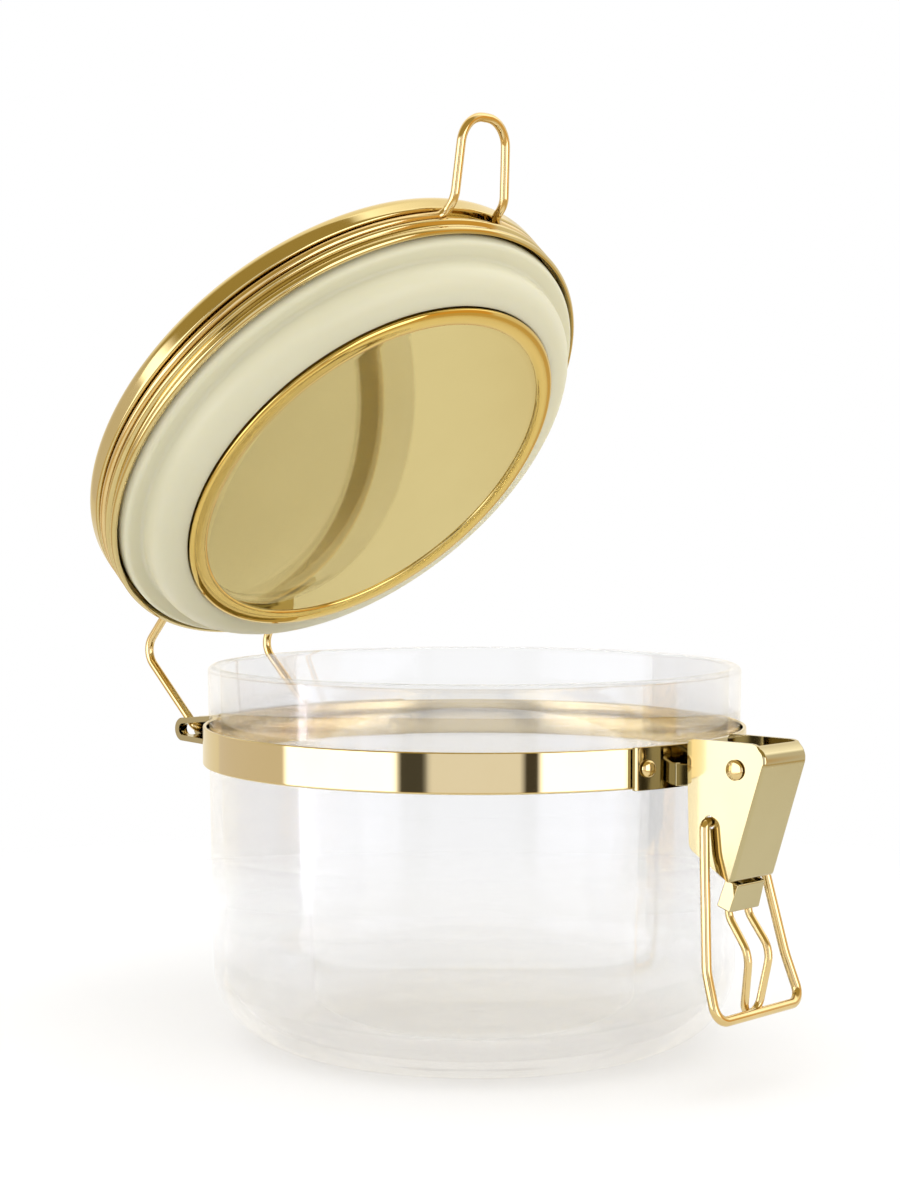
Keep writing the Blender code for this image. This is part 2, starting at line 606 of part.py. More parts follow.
def make_lever_pin(mat):
    """A pin through the cheeks and ears, with a low domed head at each end."""
    inner = LEVER_SIDE + GAP
    head, dome = PIN * 1.65, PIN * 0.5
    half = [(0.0, inner + dome), (head * 0.6, inner + dome * 0.9), (head, inner + dome * 0.35), (head, inner)]
    half += [(PIN, inner)]
    profile = half + [(radius, -z) for radius, z in reversed(half)]
    pin = turned("lever_pin", profile, mat, steps=SMALL)
    pin.data.transform(Matrix.Translation((0, PIN_Y, PIN_Z)) @ Matrix.Rotation(math.pi / 2, 4, "Y"))
    return pin


def make_clip(mat):
    """The folded tab under the web that grips both ends of the finger loop."""
    start, end = LEVER_DROP + GAP, LEVER_DROP + GAP + CLIP_LENGTH
    outer, inner = WEB_OFFSET, WEB_OFFSET - CLIP_DEPTH
    wide, narrow = CLIP_WIDTH / 2, FINGER_WIDTH / 2 + FINGER_WIRE + CLIP_WALL
    bm = bmesh.new()
    rings = []
    for along, half in ((start, wide), (end, narrow)):
        places = [(-half, outer), (half, outer), (half, inner), (-half, inner)]
        rings.append([bm.verts.new((x, *on_web(along, out))) for x, out in places])
    for side in range(4):
        follow = (side + 1) % 4
        bm.faces.new((rings[0][side], rings[0][follow], rings[1][follow], rings[1][side]))
    bm.faces.new(rings[0])
    bm.faces.new(rings[1])
    clip = mesh_object("loop_clip", bm, mat, smooth=False)
    for side in (-1, 1):
        x, out = side * FINGER_WIDTH / 2, (outer + inner) / 2
        bore = rod(f"clip_bore_{side}", (x, *on_web(start - CUT_PAST, out)), (x, *on_web(end + CUT_PAST, out)),
                   FINGER_WIRE + BORE_GAP, steps=12)
        combine(clip, bore, "DIFFERENCE")
    return clip


def make_finger_loop(mat):
    """The pull loop under the lever; the link's bar hangs against its tip."""
    half, out = FINGER_WIDTH / 2, WEB_OFFSET - CLIP_DEPTH / 2
    start, end = LEVER_DROP + GAP * 3, LEVER_DROP + CLIP_LENGTH
    clip_end = Vector((0.0, *on_web(end, out)))
    lean = LINK_HANG - LINK_LEAN
    tip = Vector((0.0, EYE_Y - LINK_LENGTH * math.sin(lean), EYE_Z - LINK_LENGTH * math.cos(lean)))
    share, bow = FINGER_BELLY
    belly = clip_end + (tip - clip_end) * share + Vector((0.0, -bow, 0.0))
    side = [Vector((half, *on_web(start, out))), Vector((half, *on_web(end + FINGER_LEAD, out)))]
    side += [belly + Vector((half * FINGER_SPLAY[0], 0, 0)), tip + Vector((half * FINGER_SPLAY[1], 0, 0)), tip]
    half_path = round_corners(side, [*FINGER_ROUNDS, half * 0.85], 4)
    mirrored = [Vector((-place.x, place.y, place.z)) for place in reversed(half_path[:-1])]
    return wire("finger_loop", half_path + mirrored, FINGER_WIRE, mat)


def make_link(mat):
    """The catch link: both ends hook into the cheeks, the legs splay and the bar closes them."""
    leg_top = LEVER_SIDE + GAP * 2 + WIRE
    half = LINK_WIDTH / 2
    down = Vector((0.0, -math.sin(LINK_HANG), -math.cos(LINK_HANG)))
    inward = Vector((0.0, math.cos(LINK_HANG), -math.sin(LINK_HANG)))
    eye = Vector((0.0, EYE_Y, EYE_Z))
    side = [eye + Vector((LEVER_SIDE - LINK_HOOK, 0, 0)), eye + Vector((leg_top, 0, 0))]
    share, out = LINK_SHOULDER
    side += [eye + Vector((leg_top + out, 0, 0)) + down * LINK_LENGTH * share + inward * LINK_BOW * 0.6]
    share, back = LINK_ELBOW
    side += [eye + Vector((half - back, 0, 0)) + down * LINK_LENGTH * share + inward * LINK_BOW]
    side += [eye + Vector((half, 0, 0)) + down * LINK_LENGTH, eye + down * LINK_LENGTH]
    half_path = round_corners(side, [WIRE * LINK_BEND, *LINK_ROUNDS], 4)
    mirrored = [Vector((-place.x, place.y, place.z)) for place in reversed(half_path[:-1])]
    return wire("catch_link", half_path + mirrored, WIRE, mat)


def main():
    clear_scene()
    acrylic = material("acrylic", (0.93, 0.94, 0.94), 0.04, 0.0, 0.95)
    gold = material("gold_plate", (0.83, 0.66, 0.36), 0.14, 1.0)
    mirror_gold = material("polished_gold", (0.80, 0.67, 0.40), 0.06, 1.0)
    wire_gold = material("gold_wire", (0.84, 0.69, 0.42), 0.20, 1.0)
    silicone = material("silicone", (0.90, 0.88, 0.76), 0.45, 0.0)

    make_jar(acrylic)
    make_band(gold)
    make_hinge_bracket(gold)
    make_latch_bracket(gold)
    for names, angles in ((("hinge_rivet_right", "hinge_rivet_left"), HINGE_RIVETS),
                          (("latch_rivet_left", "latch_rivet_right"), LATCH_RIVETS)):
        for name, angle in zip(names, angles):
            make_rivet(name, angle, wire_gold)

    lid_axis = add_empty("lid_axis", (0.0, HINGE_Y, HINGE_Z), -LID_OPEN_ANGLE)
    for piece in (make_cover(gold), make_plate(mirror_gold), make_seal(silicone), make_lid_wire(wire_gold)):
        hang(piece, lid_axis)

    lever_axis = add_empty("lever_axis", (0.0, PIN_Y, PIN_Z))
    for piece in (make_lever(gold), make_lever_pin(wire_gold), make_clip(gold), make_finger_loop(wire_gold)):
        hang(piece, lever_axis)
    hidden = [obj for obj in bpy.data.objects if obj.name.startswith(("lever_pocket", "lever_pin_hole",
                                                                      "lever_eye_hole", "clip_bore"))]
    for guide in hidden:
        hang(guide, lever_axis)

    link_axis = add_empty("link_axis", (0.0, EYE_Y, EYE_Z))
    hang(make_link(wire_gold), link_axis)


main()
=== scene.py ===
import json
import math

import bmesh
import bpy
from mathutils import Matrix, Vector


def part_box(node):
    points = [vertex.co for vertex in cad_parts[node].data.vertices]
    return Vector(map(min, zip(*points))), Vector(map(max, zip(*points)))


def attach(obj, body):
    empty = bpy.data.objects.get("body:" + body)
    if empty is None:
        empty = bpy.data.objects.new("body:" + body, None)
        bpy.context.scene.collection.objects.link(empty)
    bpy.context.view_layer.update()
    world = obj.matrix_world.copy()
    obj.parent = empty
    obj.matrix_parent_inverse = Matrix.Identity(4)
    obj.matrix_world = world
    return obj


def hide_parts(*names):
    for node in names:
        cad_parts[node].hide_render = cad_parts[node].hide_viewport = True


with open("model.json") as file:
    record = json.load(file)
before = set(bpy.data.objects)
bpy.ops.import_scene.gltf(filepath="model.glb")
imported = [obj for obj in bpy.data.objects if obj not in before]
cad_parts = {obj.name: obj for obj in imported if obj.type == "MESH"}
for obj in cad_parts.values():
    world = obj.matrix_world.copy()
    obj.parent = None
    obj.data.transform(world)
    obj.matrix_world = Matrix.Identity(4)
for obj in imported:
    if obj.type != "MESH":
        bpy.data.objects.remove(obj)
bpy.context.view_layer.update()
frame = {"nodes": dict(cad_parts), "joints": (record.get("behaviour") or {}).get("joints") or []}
mm = 0.001
mergeWithin = 0.002 * mm      # vertices closer than this become one
joints = {joint["name"]: joint for joint in frame["joints"]}
hinge = Vector(joints["lid_hinge"]["pos_m"])
leverPin = Vector(joints["lever_pivot"]["pos_m"])
linkEye = Vector(joints["link_pivot"]["pos_m"])
lidOpen = math.radians(-joints["lid_hinge"]["range_deg"][0])     # the lid rests open by this much
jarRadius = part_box("jar_body")[1].x
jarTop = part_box("jar_body")[1].z
bandLow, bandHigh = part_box("neck_band")[0].z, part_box("neck_band")[1].z
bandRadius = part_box("neck_band")[1].x
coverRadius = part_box("lid_cover")[1].x
print("frame loaded:", len(frame["nodes"]), "nodes")


# Working in edit mode

def putDown():
    if bpy.context.object and bpy.context.object.mode != "OBJECT":
        bpy.ops.object.mode_set(mode="OBJECT")
    bpy.ops.object.select_all(action="DESELECT")


def takeUp(piece):
    putDown()
    piece.select_set(True)
    bpy.context.view_layer.objects.active = piece
    return piece


def editAll():
    bpy.ops.object.mode_set(mode="EDIT")
    bpy.ops.mesh.select_mode(type="VERT")
    bpy.ops.mesh.select_all(action="SELECT")


def choose(kind, test):
    bpy.ops.mesh.select_mode(type=kind)
    bpy.ops.mesh.select_all(action="DESELECT")
    mesh = bmesh.from_edit_mesh(bpy.context.object.data)
    for part in {"VERT": mesh.verts, "EDGE": mesh.edges}[kind]:
        if test(part):
            part.select_set(True)
    bmesh.update_edit_mesh(bpy.context.object.data)


def arcPoints(center, radius, first, last, steps):
    points = []
    for step in range(steps + 1):
        angle = math.radians(first + (last - first) * step / steps)
        points.append((center[0] + radius * math.cos(angle), center[1] + radius * math.sin(angle)))
    return points


def turnRings(profile, sides, joined=False):
    # a circle is extruded from ring to ring; each point of the profile is (radius, height) in millimetres
    putDown()
    radius, height = profile[0]
    bpy.ops.mesh.primitive_circle_add(vertices=sides, radius=radius * mm, location=(0, 0, height * mm),
                                      fill_type="NOTHING" if joined else "NGON")
    bpy.ops.object.transform_apply(location=True, rotation=True, scale=True)
    editAll()
    if joined:
        profile = profile + profile[:1]
    for newRadius, newHeight in profile[1:]:
        bpy.ops.mesh.extrude_region_move(TRANSFORM_OT_translate={"value": (0, 0, (newHeight - height) * mm)})
        grow = newRadius / radius
        bpy.ops.transform.resize(value=(grow, grow, 1), center_override=(0, 0, 0))
        radius, height = newRadius, newHeight
    bpy.ops.mesh.select_all(action="SELECT")
    bpy.ops.mesh.remove_doubles(threshold=mergeWithin)
    bpy.ops.mesh.normals_make_consistent(inside=False)
    bpy.ops.object.mode_set(mode="OBJECT")
    return bpy.context.object


def drawPath(places):
    # a vertex is extruded from place to place, and the path stays open in edit mode
    putDown()
    bpy.ops.mesh.primitive_plane_add(size=2 * mm, location=places[0])
    bpy.ops.object.transform_apply(location=True, rotation=True, scale=True)
    editAll()
    bpy.ops.mesh.merge(type="CENTER")
    for before, after in zip(places, places[1:]):
        bpy.ops.mesh.extrude_vertices_move(TRANSFORM_OT_translate={"value": Vector(after) - Vector(before)})
    return bpy.context.object


def extrudeOutline(outline, low, high):
    # an outline of (y, z) places is filled at x = low and extruded to x = high
    piece = drawPath([(low, y, z) for y, z in outline])
    bpy.ops.mesh.select_all(action="SELECT")
    bpy.ops.mesh.edge_face_add()
    bpy.ops.mesh.select_all(action="SELECT")
    bpy.ops.mesh.extrude_region_move(TRANSFORM_OT_translate={"value": (high - low, 0, 0)})
    bpy.ops.mesh.select_all(action="SELECT")
    bpy.ops.mesh.normals_make_consistent(inside=False)
    bpy.ops.object.mode_set(mode="OBJECT")
    return piece


def roundPath(corners, radii, steps=10):
    # the places of a path with each inner corner rounded to its radius
    straight = math.radians(89.5)     # half the angle at a corner too flat to round
    path = [Vector(corners[0])]
    for before, corner, after, radius in zip(corners, corners[1:], corners[2:], radii):
        before, corner, after = Vector(before), Vector(corner), Vector(after)
        back, ahead = (before - corner).normalized(), (after - corner).normalized()
        half = back.angle(ahead) / 2
        if radius == 0 or half > straight:
            path.append(corner)
            continue
        reach = radius / math.tan(half)
        center = corner + (back + ahead).normalized() * radius / math.sin(half)
        first, last = corner + back * reach - center, corner + ahead * reach - center
        turn = first.angle(last)
        for step in range(steps + 1):
            share = step / steps
            spoke = first * math.sin((1 - share) * turn) + last * math.sin(share * turn)
            path.append(center + spoke / math.sin(turn))
    path.append(Vector(corners[-1]))
    return path


def mirrorPath(half):
    return half + [Vector((-place.x, place.y, place.z)) for place in reversed(half[:-1])]


def roundWire(path, radius, smoothness=5):
    drawPath(path)
    bpy.ops.object.mode_set(mode="OBJECT")
    bpy.ops.object.convert(target="CURVE")
    curve = bpy.context.object.data
    curve.bevel_depth = radius
    curve.bevel_resolution = smoothness
    curve.use_fill_caps = True
    bpy.ops.object.convert(target="MESH")
    return bpy.context.object


def holeRod(start, end, radius, sides=32):
    start, end = Vector(start), Vector(end)
    putDown()
    bpy.ops.mesh.primitive_cylinder_add(vertices=sides, radius=radius, depth=(end - start).length,
                                        location=(start + end) / 2,
                                        rotation=(end - start).to_track_quat("Z", "Y").to_euler())
    bpy.ops.object.transform_apply(location=True, rotation=True, scale=True)
    return bpy.context.object


def cut(piece, other, operation="DIFFERENCE"):
    takeUp(piece)
    step = piece.modifiers.new("cut", "BOOLEAN")
    step.operation, step.solver, step.object = operation, "EXACT", other
    bpy.ops.object.modifier_apply(modifier=step.name)
    bpy.data.objects.remove(other, do_unlink=True)


def softenEdges(piece, width, segments=3, angle=32):
    takeUp(piece)
    editAll()
    bpy.ops.mesh.remove_doubles(threshold=mergeWithin / 2)
    bpy.ops.object.mode_set(mode="OBJECT")
    bevel = piece.modifiers.new("edge", "BEVEL")
    bevel.width, bevel.segments, bevel.limit_method = width, segments, "ANGLE"
    bevel.angle_limit = math.radians(angle)
    bpy.ops.object.modifier_apply(modifier=bevel.name)


def swingOpen(piece):
    takeUp(piece)
    editAll()
    bpy.ops.transform.rotate(value=lidOpen, orient_axis="X", center_override=hinge)
    bpy.ops.object.mode_set(mode="OBJECT")


def finishPiece(piece, name, body, nodes, material, smooth=35, flat=False):
    takeUp(piece)
    piece.name = piece.data.name = name
    bpy.ops.object.transform_apply(location=True, rotation=True, scale=True)
    bpy.ops.object.shade_smooth_by_angle(angle=math.radians(smooth))
    if flat:
        # large faces keep their own direction beside the narrow rounded edges
        step = piece.modifiers.new("flat", "WEIGHTED_NORMAL")
        step.keep_sharp, step.weight = True, 100
        bpy.ops.object.modifier_apply(modifier=step.name)
    piece.data.materials.clear()
    piece.data.materials.append(material)
    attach(piece, body)
    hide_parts(*nodes)


def closedSpan(node):
    # lowest and highest place of a lid node with the lid closed
    back = Matrix.Rotation(lidOpen, 3, "X")
    heights = [(back @ (vert.co - hinge) + hinge).z for vert in frame["nodes"][node].data.vertices]
    return min(heights), max(heights)


# Finishes

class Link:
    def __init__(self, finish, socket):
        self.finish, self.socket = finish, socket

    def combine(self, operation, first, second):
        return self.finish.node("ShaderNodeMath", {"operation": operation}, {0: first, 1: second})

    def __add__(self, other):
        return self.combine("ADD", self, other)

    def __sub__(self, other):
        return self.combine("SUBTRACT", self, other)

    def __rsub__(self, other):
        return self.combine("SUBTRACT", other, self)

    def __mul__(self, other):
        return self.combine("MULTIPLY", self, other)

    def __truediv__(self, other):
        return self.combine("DIVIDE", self, other)

    __radd__ = __add__
    __rmul__ = __mul__


class Finish:
    def __init__(self, name, **constants):
        self.material = bpy.data.materials.new(name)
        self.material.use_nodes = True
        self.tree = self.material.node_tree
        self.shader = self.tree.nodes["Principled BSDF"]
        for socket, value in constants.items():
            self.shader.inputs[socket.replace("_", " ")].default_value = value

    def node(self, kind, settings=None, sockets=None, output=0):
        node = self.tree.nodes.new(kind)
        for key, value in (settings or {}).items():
            if key == "stops":
                ramp = node.color_ramp
                while len(ramp.elements) < len(value):
                    ramp.elements.new(0.5)
                for element, (place, color) in zip(ramp.elements, value):
                    element.position, element.color = place, color
            else:
                setattr(node, key, value)
        for key, value in (sockets or {}).items():
            if isinstance(value, Link):
                self.tree.links.new(value.socket, node.inputs[key])
            else:
                node.inputs[key].default_value = value
        return Link(self, node.outputs[output])

    def place(self, scale=(1, 1, 1)):
        spot = self.node("ShaderNodeTexCoord", output="Object")
        return self.node("ShaderNodeMapping", {}, {"Vector": spot, "Scale": scale})

    def noise(self, vector, scale, detail=3.0, roughness=0.5):
        sockets = {"Vector": vector, "Scale": scale, "Detail": detail, "Roughness": roughness}
        return self.node("ShaderNodeTexNoise", {}, sockets)

    def split(self, vector):
        first = self.node("ShaderNodeSeparateXYZ", {}, {0: vector})
        return [Link(self, output) for output in first.socket.node.outputs]

    def feed(self, socket, link):
        self.tree.links.new(link.socket, self.shader.inputs[socket])

    def blend(self, share, first, second):
        settings = {"data_type": "RGBA"}
        return self.node("ShaderNodeMix", settings, {0: share, 6: first, 7: second}, output=2)

    def fade(self, value, start, end):
        # 0 up to start, 1 from end, and a soft step between them
        settings = {"interpolation_type": "SMOOTHSTEP"}
        return self.node("ShaderNodeMapRange", settings, {"Value": value, "From Min": start, "From Max": end})

    def bump(self, height, strength, distance):
        sockets = {"Height": height, "Strength": strength, "Distance": distance}
        self.feed("Normal", self.node("ShaderNodeBump", {}, sockets))


turnedLook = {"cloud": 55.0, "cloudDetail": 4.0, "cloudRoughness": 0.55, "stretch": 0.6, "beadEdge": 0.15,
              "bump": 0.05, "bumpDepth": 0.02}


def turnedGold(name, light, deep, polish, grain, lidTilt=0.0, bead=None):
    # gold plate on a turned or drawn piece: faint rings about the axis, cloudy wear and a soft uneven polish
    look = turnedLook
    finish = Finish(name, Metallic=1.0)
    upright = finish.place()
    if lidTilt:
        fromHinge = finish.node("ShaderNodeVectorMath", {"operation": "SUBTRACT"}, {0: upright, 1: hinge})
        turned = finish.node("ShaderNodeVectorRotate", {"rotation_type": "X_AXIS"},
                             {"Vector": fromHinge, "Angle": lidTilt})
        upright = finish.node("ShaderNodeVectorMath", {"operation": "ADD"}, {0: turned, 1: hinge})
    across, depth, height = finish.split(upright)
    radius = finish.node("ShaderNodeMath", {"operation": "SQRT"}, {0: across * across + depth * depth})
    ringPlace = finish.node("ShaderNodeCombineXYZ", {}, {0: radius, 1: height * look["stretch"]})
    rings = finish.noise(ringPlace, grain, 2.0)
    cloud = finish.noise(upright, look["cloud"], look["cloudDetail"], look["cloudRoughness"])
    color = finish.blend(cloud, deep, light)
    if bead:
        start, tone = bead     # from this radius outwards the plate takes this colour
        edge = look["beadEdge"]
        color = finish.blend(finish.fade(radius, (start - edge) * mm, (start + edge) * mm), color, tone)
    finish.feed("Base Color", color)
    finish.feed("Roughness", polish * 0.7 + cloud * (polish * 0.5) + rings * (polish * 0.25))
    finish.bump(rings, look["bump"], look["bumpDepth"] * mm)
    return finish.material


wireLook = {"deep": (0.62, 0.45, 0.18, 1), "light": (0.76, 0.59, 0.29, 1), "streak": 900.0, "cloud": 90.0,
            "rough": 0.07, "roughStreak": 0.08, "bump": 0.06, "bumpDepth": 0.03}


def wireGold():
    look = wireLook
    finish = Finish("drawnWireGold", Metallic=1.0)
    spot = finish.place()
    streak = finish.noise(spot, look["streak"], 2.0)
    cloud = finish.noise(spot, look["cloud"])
    finish.feed("Base Color", finish.blend(cloud, look["deep"], look["light"]))
    finish.feed("Roughness", look["rough"] + streak * look["roughStreak"])
    finish.bump(streak, look["bump"], look["bumpDepth"] * mm)
    return finish.material


acrylicLook = {"deep": (0.775, 0.778, 0.781, 1), "light": (0.825, 0.828, 0.831, 1), "flow": 28.0,
               "stretch": 0.35, "haze": 220.0, "rough": 0.004, "roughHaze": 0.012, "cover": 0.24,
               "coverFlow": 0.12, "bump": 0.02, "bumpDepth": 0.25}


def clearAcrylic():
    # "cover" is how much of the light the sheet takes; the rest passes straight through
    look = acrylicLook
    finish = Finish("clearAcrylic", Transmission_Weight=1.0, IOR=1.49, Specular_IOR_Level=0.14)
    flow = finish.noise(finish.place(scale=(1, 1, look["stretch"])), look["flow"], 2.0)
    haze = finish.noise(finish.place(), look["haze"])
    finish.feed("Base Color", finish.blend(flow, look["deep"], look["light"]))
    finish.feed("Roughness", look["rough"] + haze * look["roughHaze"])
    finish.feed("Alpha", look["cover"] + flow * look["coverFlow"])
    finish.bump(flow, look["bump"], look["bumpDepth"] * mm)
    return finish.material


siliconeLook = {"deep": (0.65, 0.615, 0.43, 1), "light": (0.72, 0.69, 0.51, 1), "cloud": 24.0,
                "grain": 1400.0, "rough": 0.30, "roughGrain": 0.16, "bump": 0.05, "bumpDepth": 0.03,
                "depth": 3}


def softSilicone():
    look = siliconeLook
    finish = Finish("softSilicone", Subsurface_Weight=0.35, Subsurface_Scale=look["depth"] * mm,
                    Subsurface_Radius=(1.0, 0.85, 0.5), IOR=1.42, Specular_IOR_Level=0.45)
    spot = finish.place()
    cloud = finish.noise(spot, look["cloud"])
    grain = finish.noise(spot, look["grain"], 2.0)
    finish.feed("Base Color", finish.blend(cloud, look["deep"], look["light"]))
    finish.feed("Roughness", look["rough"] + grain * look["roughGrain"])
    finish.bump(grain, look["bump"], look["bumpDepth"] * mm)
    return finish.material


coverGold = turnedGold("coverGold", light=(0.64, 0.52, 0.24, 1), deep=(0.55, 0.43, 0.17, 1), polish=0.09,
                       grain=900.0, lidTilt=lidOpen)
plateGold = turnedGold("plateGold", light=(0.63, 0.525, 0.23, 1), deep=(0.59, 0.485, 0.205, 1), polish=0.035,
                       grain=500.0, lidTilt=lidOpen, bead=(42.9, (0.64, 0.46, 0.13, 1)))
bandGold = turnedGold("bandGold", light=(0.68, 0.56, 0.30, 1), deep=(0.64, 0.52, 0.26, 1), polish=0.04,
                      grain=700.0)
fittingGold = turnedGold("fittingGold", light=(0.50, 0.43, 0.235, 1), deep=(0.44, 0.37, 0.185, 1),
                         polish=0.06, grain=800.0)
wireFinish = wireGold()
acrylic = clearAcrylic()
silicone = softSilicone()
print("finishes made")


# Jar

jarSizes = {"wall": 2.6, "floor": 3.2, "draft": 1.0, "foot": 16.0, "lip": 1.15, "ringWidth": 3.6,
            "recess": 0.35, "gate": 2.2, "gateHeight": 0.5, "rimEase": 0.8, "pole": 1.5, "sides": 224}


def makeJar():
    size = jarSizes
    top, rim, foot, wall = jarTop / mm, jarRadius / mm, size["foot"], size["wall"]
    floor, recess, lip, ease = size["floor"], size["recess"], size["lip"], size["rimEase"]
    gate, rise = size["gate"], size["gateHeight"]
    footRadius = rim - size["draft"] - foot
    low = footRadius - size["ringWidth"]
    # a shallow recess underneath, and the ring that the jar stands on
    profile = [(size["pole"], recess), (low - 1.2, recess), (low - 0.5, recess * 0.85)]
    profile += [(low + 0.3, recess * 0.2), (low + 0.9, 0.0), (footRadius - 0.6, 0.0)]
    # up the outside, over the rim and down the inside
    inside = rim - wall
    profile += arcPoints((footRadius, foot), foot, -90, 0, 26) + [(rim - 0.03, top - lip - ease)]
    profile += arcPoints((rim - lip, top - lip), lip, 0, 90, 7)
    profile += arcPoints((inside + lip, top - lip), lip, 90, 180, 7) + [(inside - 0.01, top - lip - ease)]
    profile += arcPoints((footRadius, floor + foot - wall), foot - wall, 0, -90, 22)
    # the floor, with the moulding gate in its middle
    profile += [(footRadius - 0.8, floor), (gate * 1.6, floor), (gate * 1.15, floor + 0.08)]
    profile += [(gate, floor + rise * 0.7), (gate * 0.85, floor + rise), (gate * 0.5, floor + rise)]
    jar = turnRings(profile, size["sides"])
    finishPiece(jar, "jarShell", "jar", ["jar_body"], acrylic, smooth=40)


makeJar()
print("jar made")


# Neck band

bandSizes = {"sheet": 0.8, "edge": 0.3, "ease": 0.3, "sides": 256}


def makeBand():
    size = bandSizes
    low, high, outside = bandLow / mm, bandHigh / mm, bandRadius / mm
    inside, edge, ease = outside - size["sheet"], size["edge"], size["ease"]
    profile = [(inside, high - edge), (inside, low + edge)]
    profile += arcPoints((inside + edge, low + edge), edge, 180, 270, 4)[1:]
    profile += arcPoints((outside - edge, low + edge), edge, 270, 360, 5)
    profile += [(outside, low + edge + ease), (outside, high - edge - ease)]
    profile += arcPoints((outside - edge, high - edge), edge, 0, 90, 5)
    profile += arcPoints((inside + edge, high - edge), edge, 90, 180, 4)[:-1]
    band = turnRings(profile, size["sides"], joined=True)
    finishPiece(band, "neckBand", "jar", ["neck_band"], bandGold)


makeBand()
print("band made")


# Lid, modelled closed and swung open

coverSizes = {"sheet": 0.8, "curl": 1.0, "round": 2.8, "panel": 0.78, "groove": 5.8, "wire": 1.0,
              "wireGap": 0.3, "mouth": 0.45, "panelDrop": 0.6, "lining": 1.6, "pole": 2.0, "sides": 256}


def makeCover():
    size = coverSizes
    low, high = (height / mm for height in closedSpan("lid_cover"))
    edge, sheet, curl, corner = coverRadius / mm, size["sheet"], size["curl"], size["round"]
    middle = low + size["groove"]
    hollow, mouth = edge - 2 * size["wire"] - size["wireGap"], size["wire"] + size["mouth"]
    # rolled lower edge, the ridge below the groove, the groove, and the ridge above it
    outer = arcPoints((edge - curl, low + curl), curl, -90, 70, 9)
    outer += [(edge - 0.95, low + 2.3), (edge - 1.0, low + 2.55), (edge - 0.9, low + 2.8)]
    outer += arcPoints((edge - 0.65, middle - mouth - 0.65), 0.65, -60, 80, 8)
    outer += arcPoints((hollow + 0.5, middle - mouth + 0.6), 0.5, 268, 180, 5)
    outer += arcPoints((hollow + 0.5, middle + mouth - 0.6), 0.5, 180, 92, 5)
    outer += arcPoints((edge - 0.6, middle + mouth + 0.6), 0.6, -80, 0, 6)
    # the side, the rounded upper edge and the sunken panel
    outer += [(edge, middle + mouth + 0.9), (edge, high - corner - 0.3)]
    outer += arcPoints((edge - corner, high - corner), corner, 0, 90, 12)
    panel, drop = edge * size["panel"], sheet * size["panelDrop"]
    outer += [(edge - corner - 0.5, high), (panel + 1.4, high)]
    outer += arcPoints((panel + 0.9, high - 0.6), 0.6, 90, 150, 4) + [(panel - 0.1, high - drop + 0.06)]
    outer += [(panel - 0.5, high - drop), (panel - 1.2, high - drop), (size["pole"], high - drop)]
    # the inside, from the axis to the lower edge
    lining, under = hollow - sheet, high - sheet * size["lining"]
    inner = [(size["pole"], under), (lining - corner * 0.4, under)]
    inner += [(lining, under - corner * 0.4), (lining, middle - mouth * 1.4)]
    inner += [(edge - sheet * 2.2, low + sheet * 3.4), (edge - curl * 1.6, low + curl * 1.2)]
    cover = turnRings(inner + outer, size["sides"])
    swingOpen(cover)
    finishPiece(cover, "coverPan", "lid", ["lid_cover"], coverGold)


plateSizes = {"skirt": 45.8, "sheet": 0.8, "recess": 0.9, "beadStart": 42.8, "beadCrown": 44.9,
              "beadEdge": 47.0, "beadRise": 1.1, "pole": 1.5, "sides": 288}


def makeInnerPlate():
    # a flat polished disc with a rolled bead at its rim and a skirt that stands up inside the seal
    size = plateSizes
    low, high = (height / mm for height in closedSpan("lid_plate"))
    pole, inside, sheet, rise = size["pole"], size["skirt"], size["sheet"], size["beadRise"]
    flat, outside = low + size["recess"], size["skirt"] + size["sheet"]
    start, crown, edge = size["beadStart"], size["beadCrown"], size["beadEdge"]
    profile = [(pole, flat), (20.0, flat), (start - 1.5, flat), (start - 0.5, flat), (start, flat + 0.03)]
    for out, up in arcPoints((0, 0), 1, 180, 270, 9)[1:]:
        profile.append((crown + out * (crown - start), low + (1 + up) * size["recess"]))
    for out, up in arcPoints((0, 0), 1, 270, 350, 10)[1:]:
        profile.append((crown + out * (edge - crown), low + (1 + up) * rise))
    profile += [(edge, low + rise + 0.05), (outside + 0.1, low + 1.3), (outside, low + 1.5), (outside, high)]
    under = flat + sheet
    profile += [(inside, high), (inside, under + 0.4), (inside - 0.4, under), (pole, under)]
    plate = turnRings(profile, size["sides"])
    swingOpen(plate)
    finishPiece(plate, "innerPlate", "lid", ["lid_plate"], plateGold)


gasketSizes = {"inside": 46.95, "insideRound": 0.5, "foot": 49.0, "belly": 4.6, "wallGap": 0.2,
               "rimGap": 0.25, "plugRound": 0.9, "lipRound": 1.2, "sides": 256}


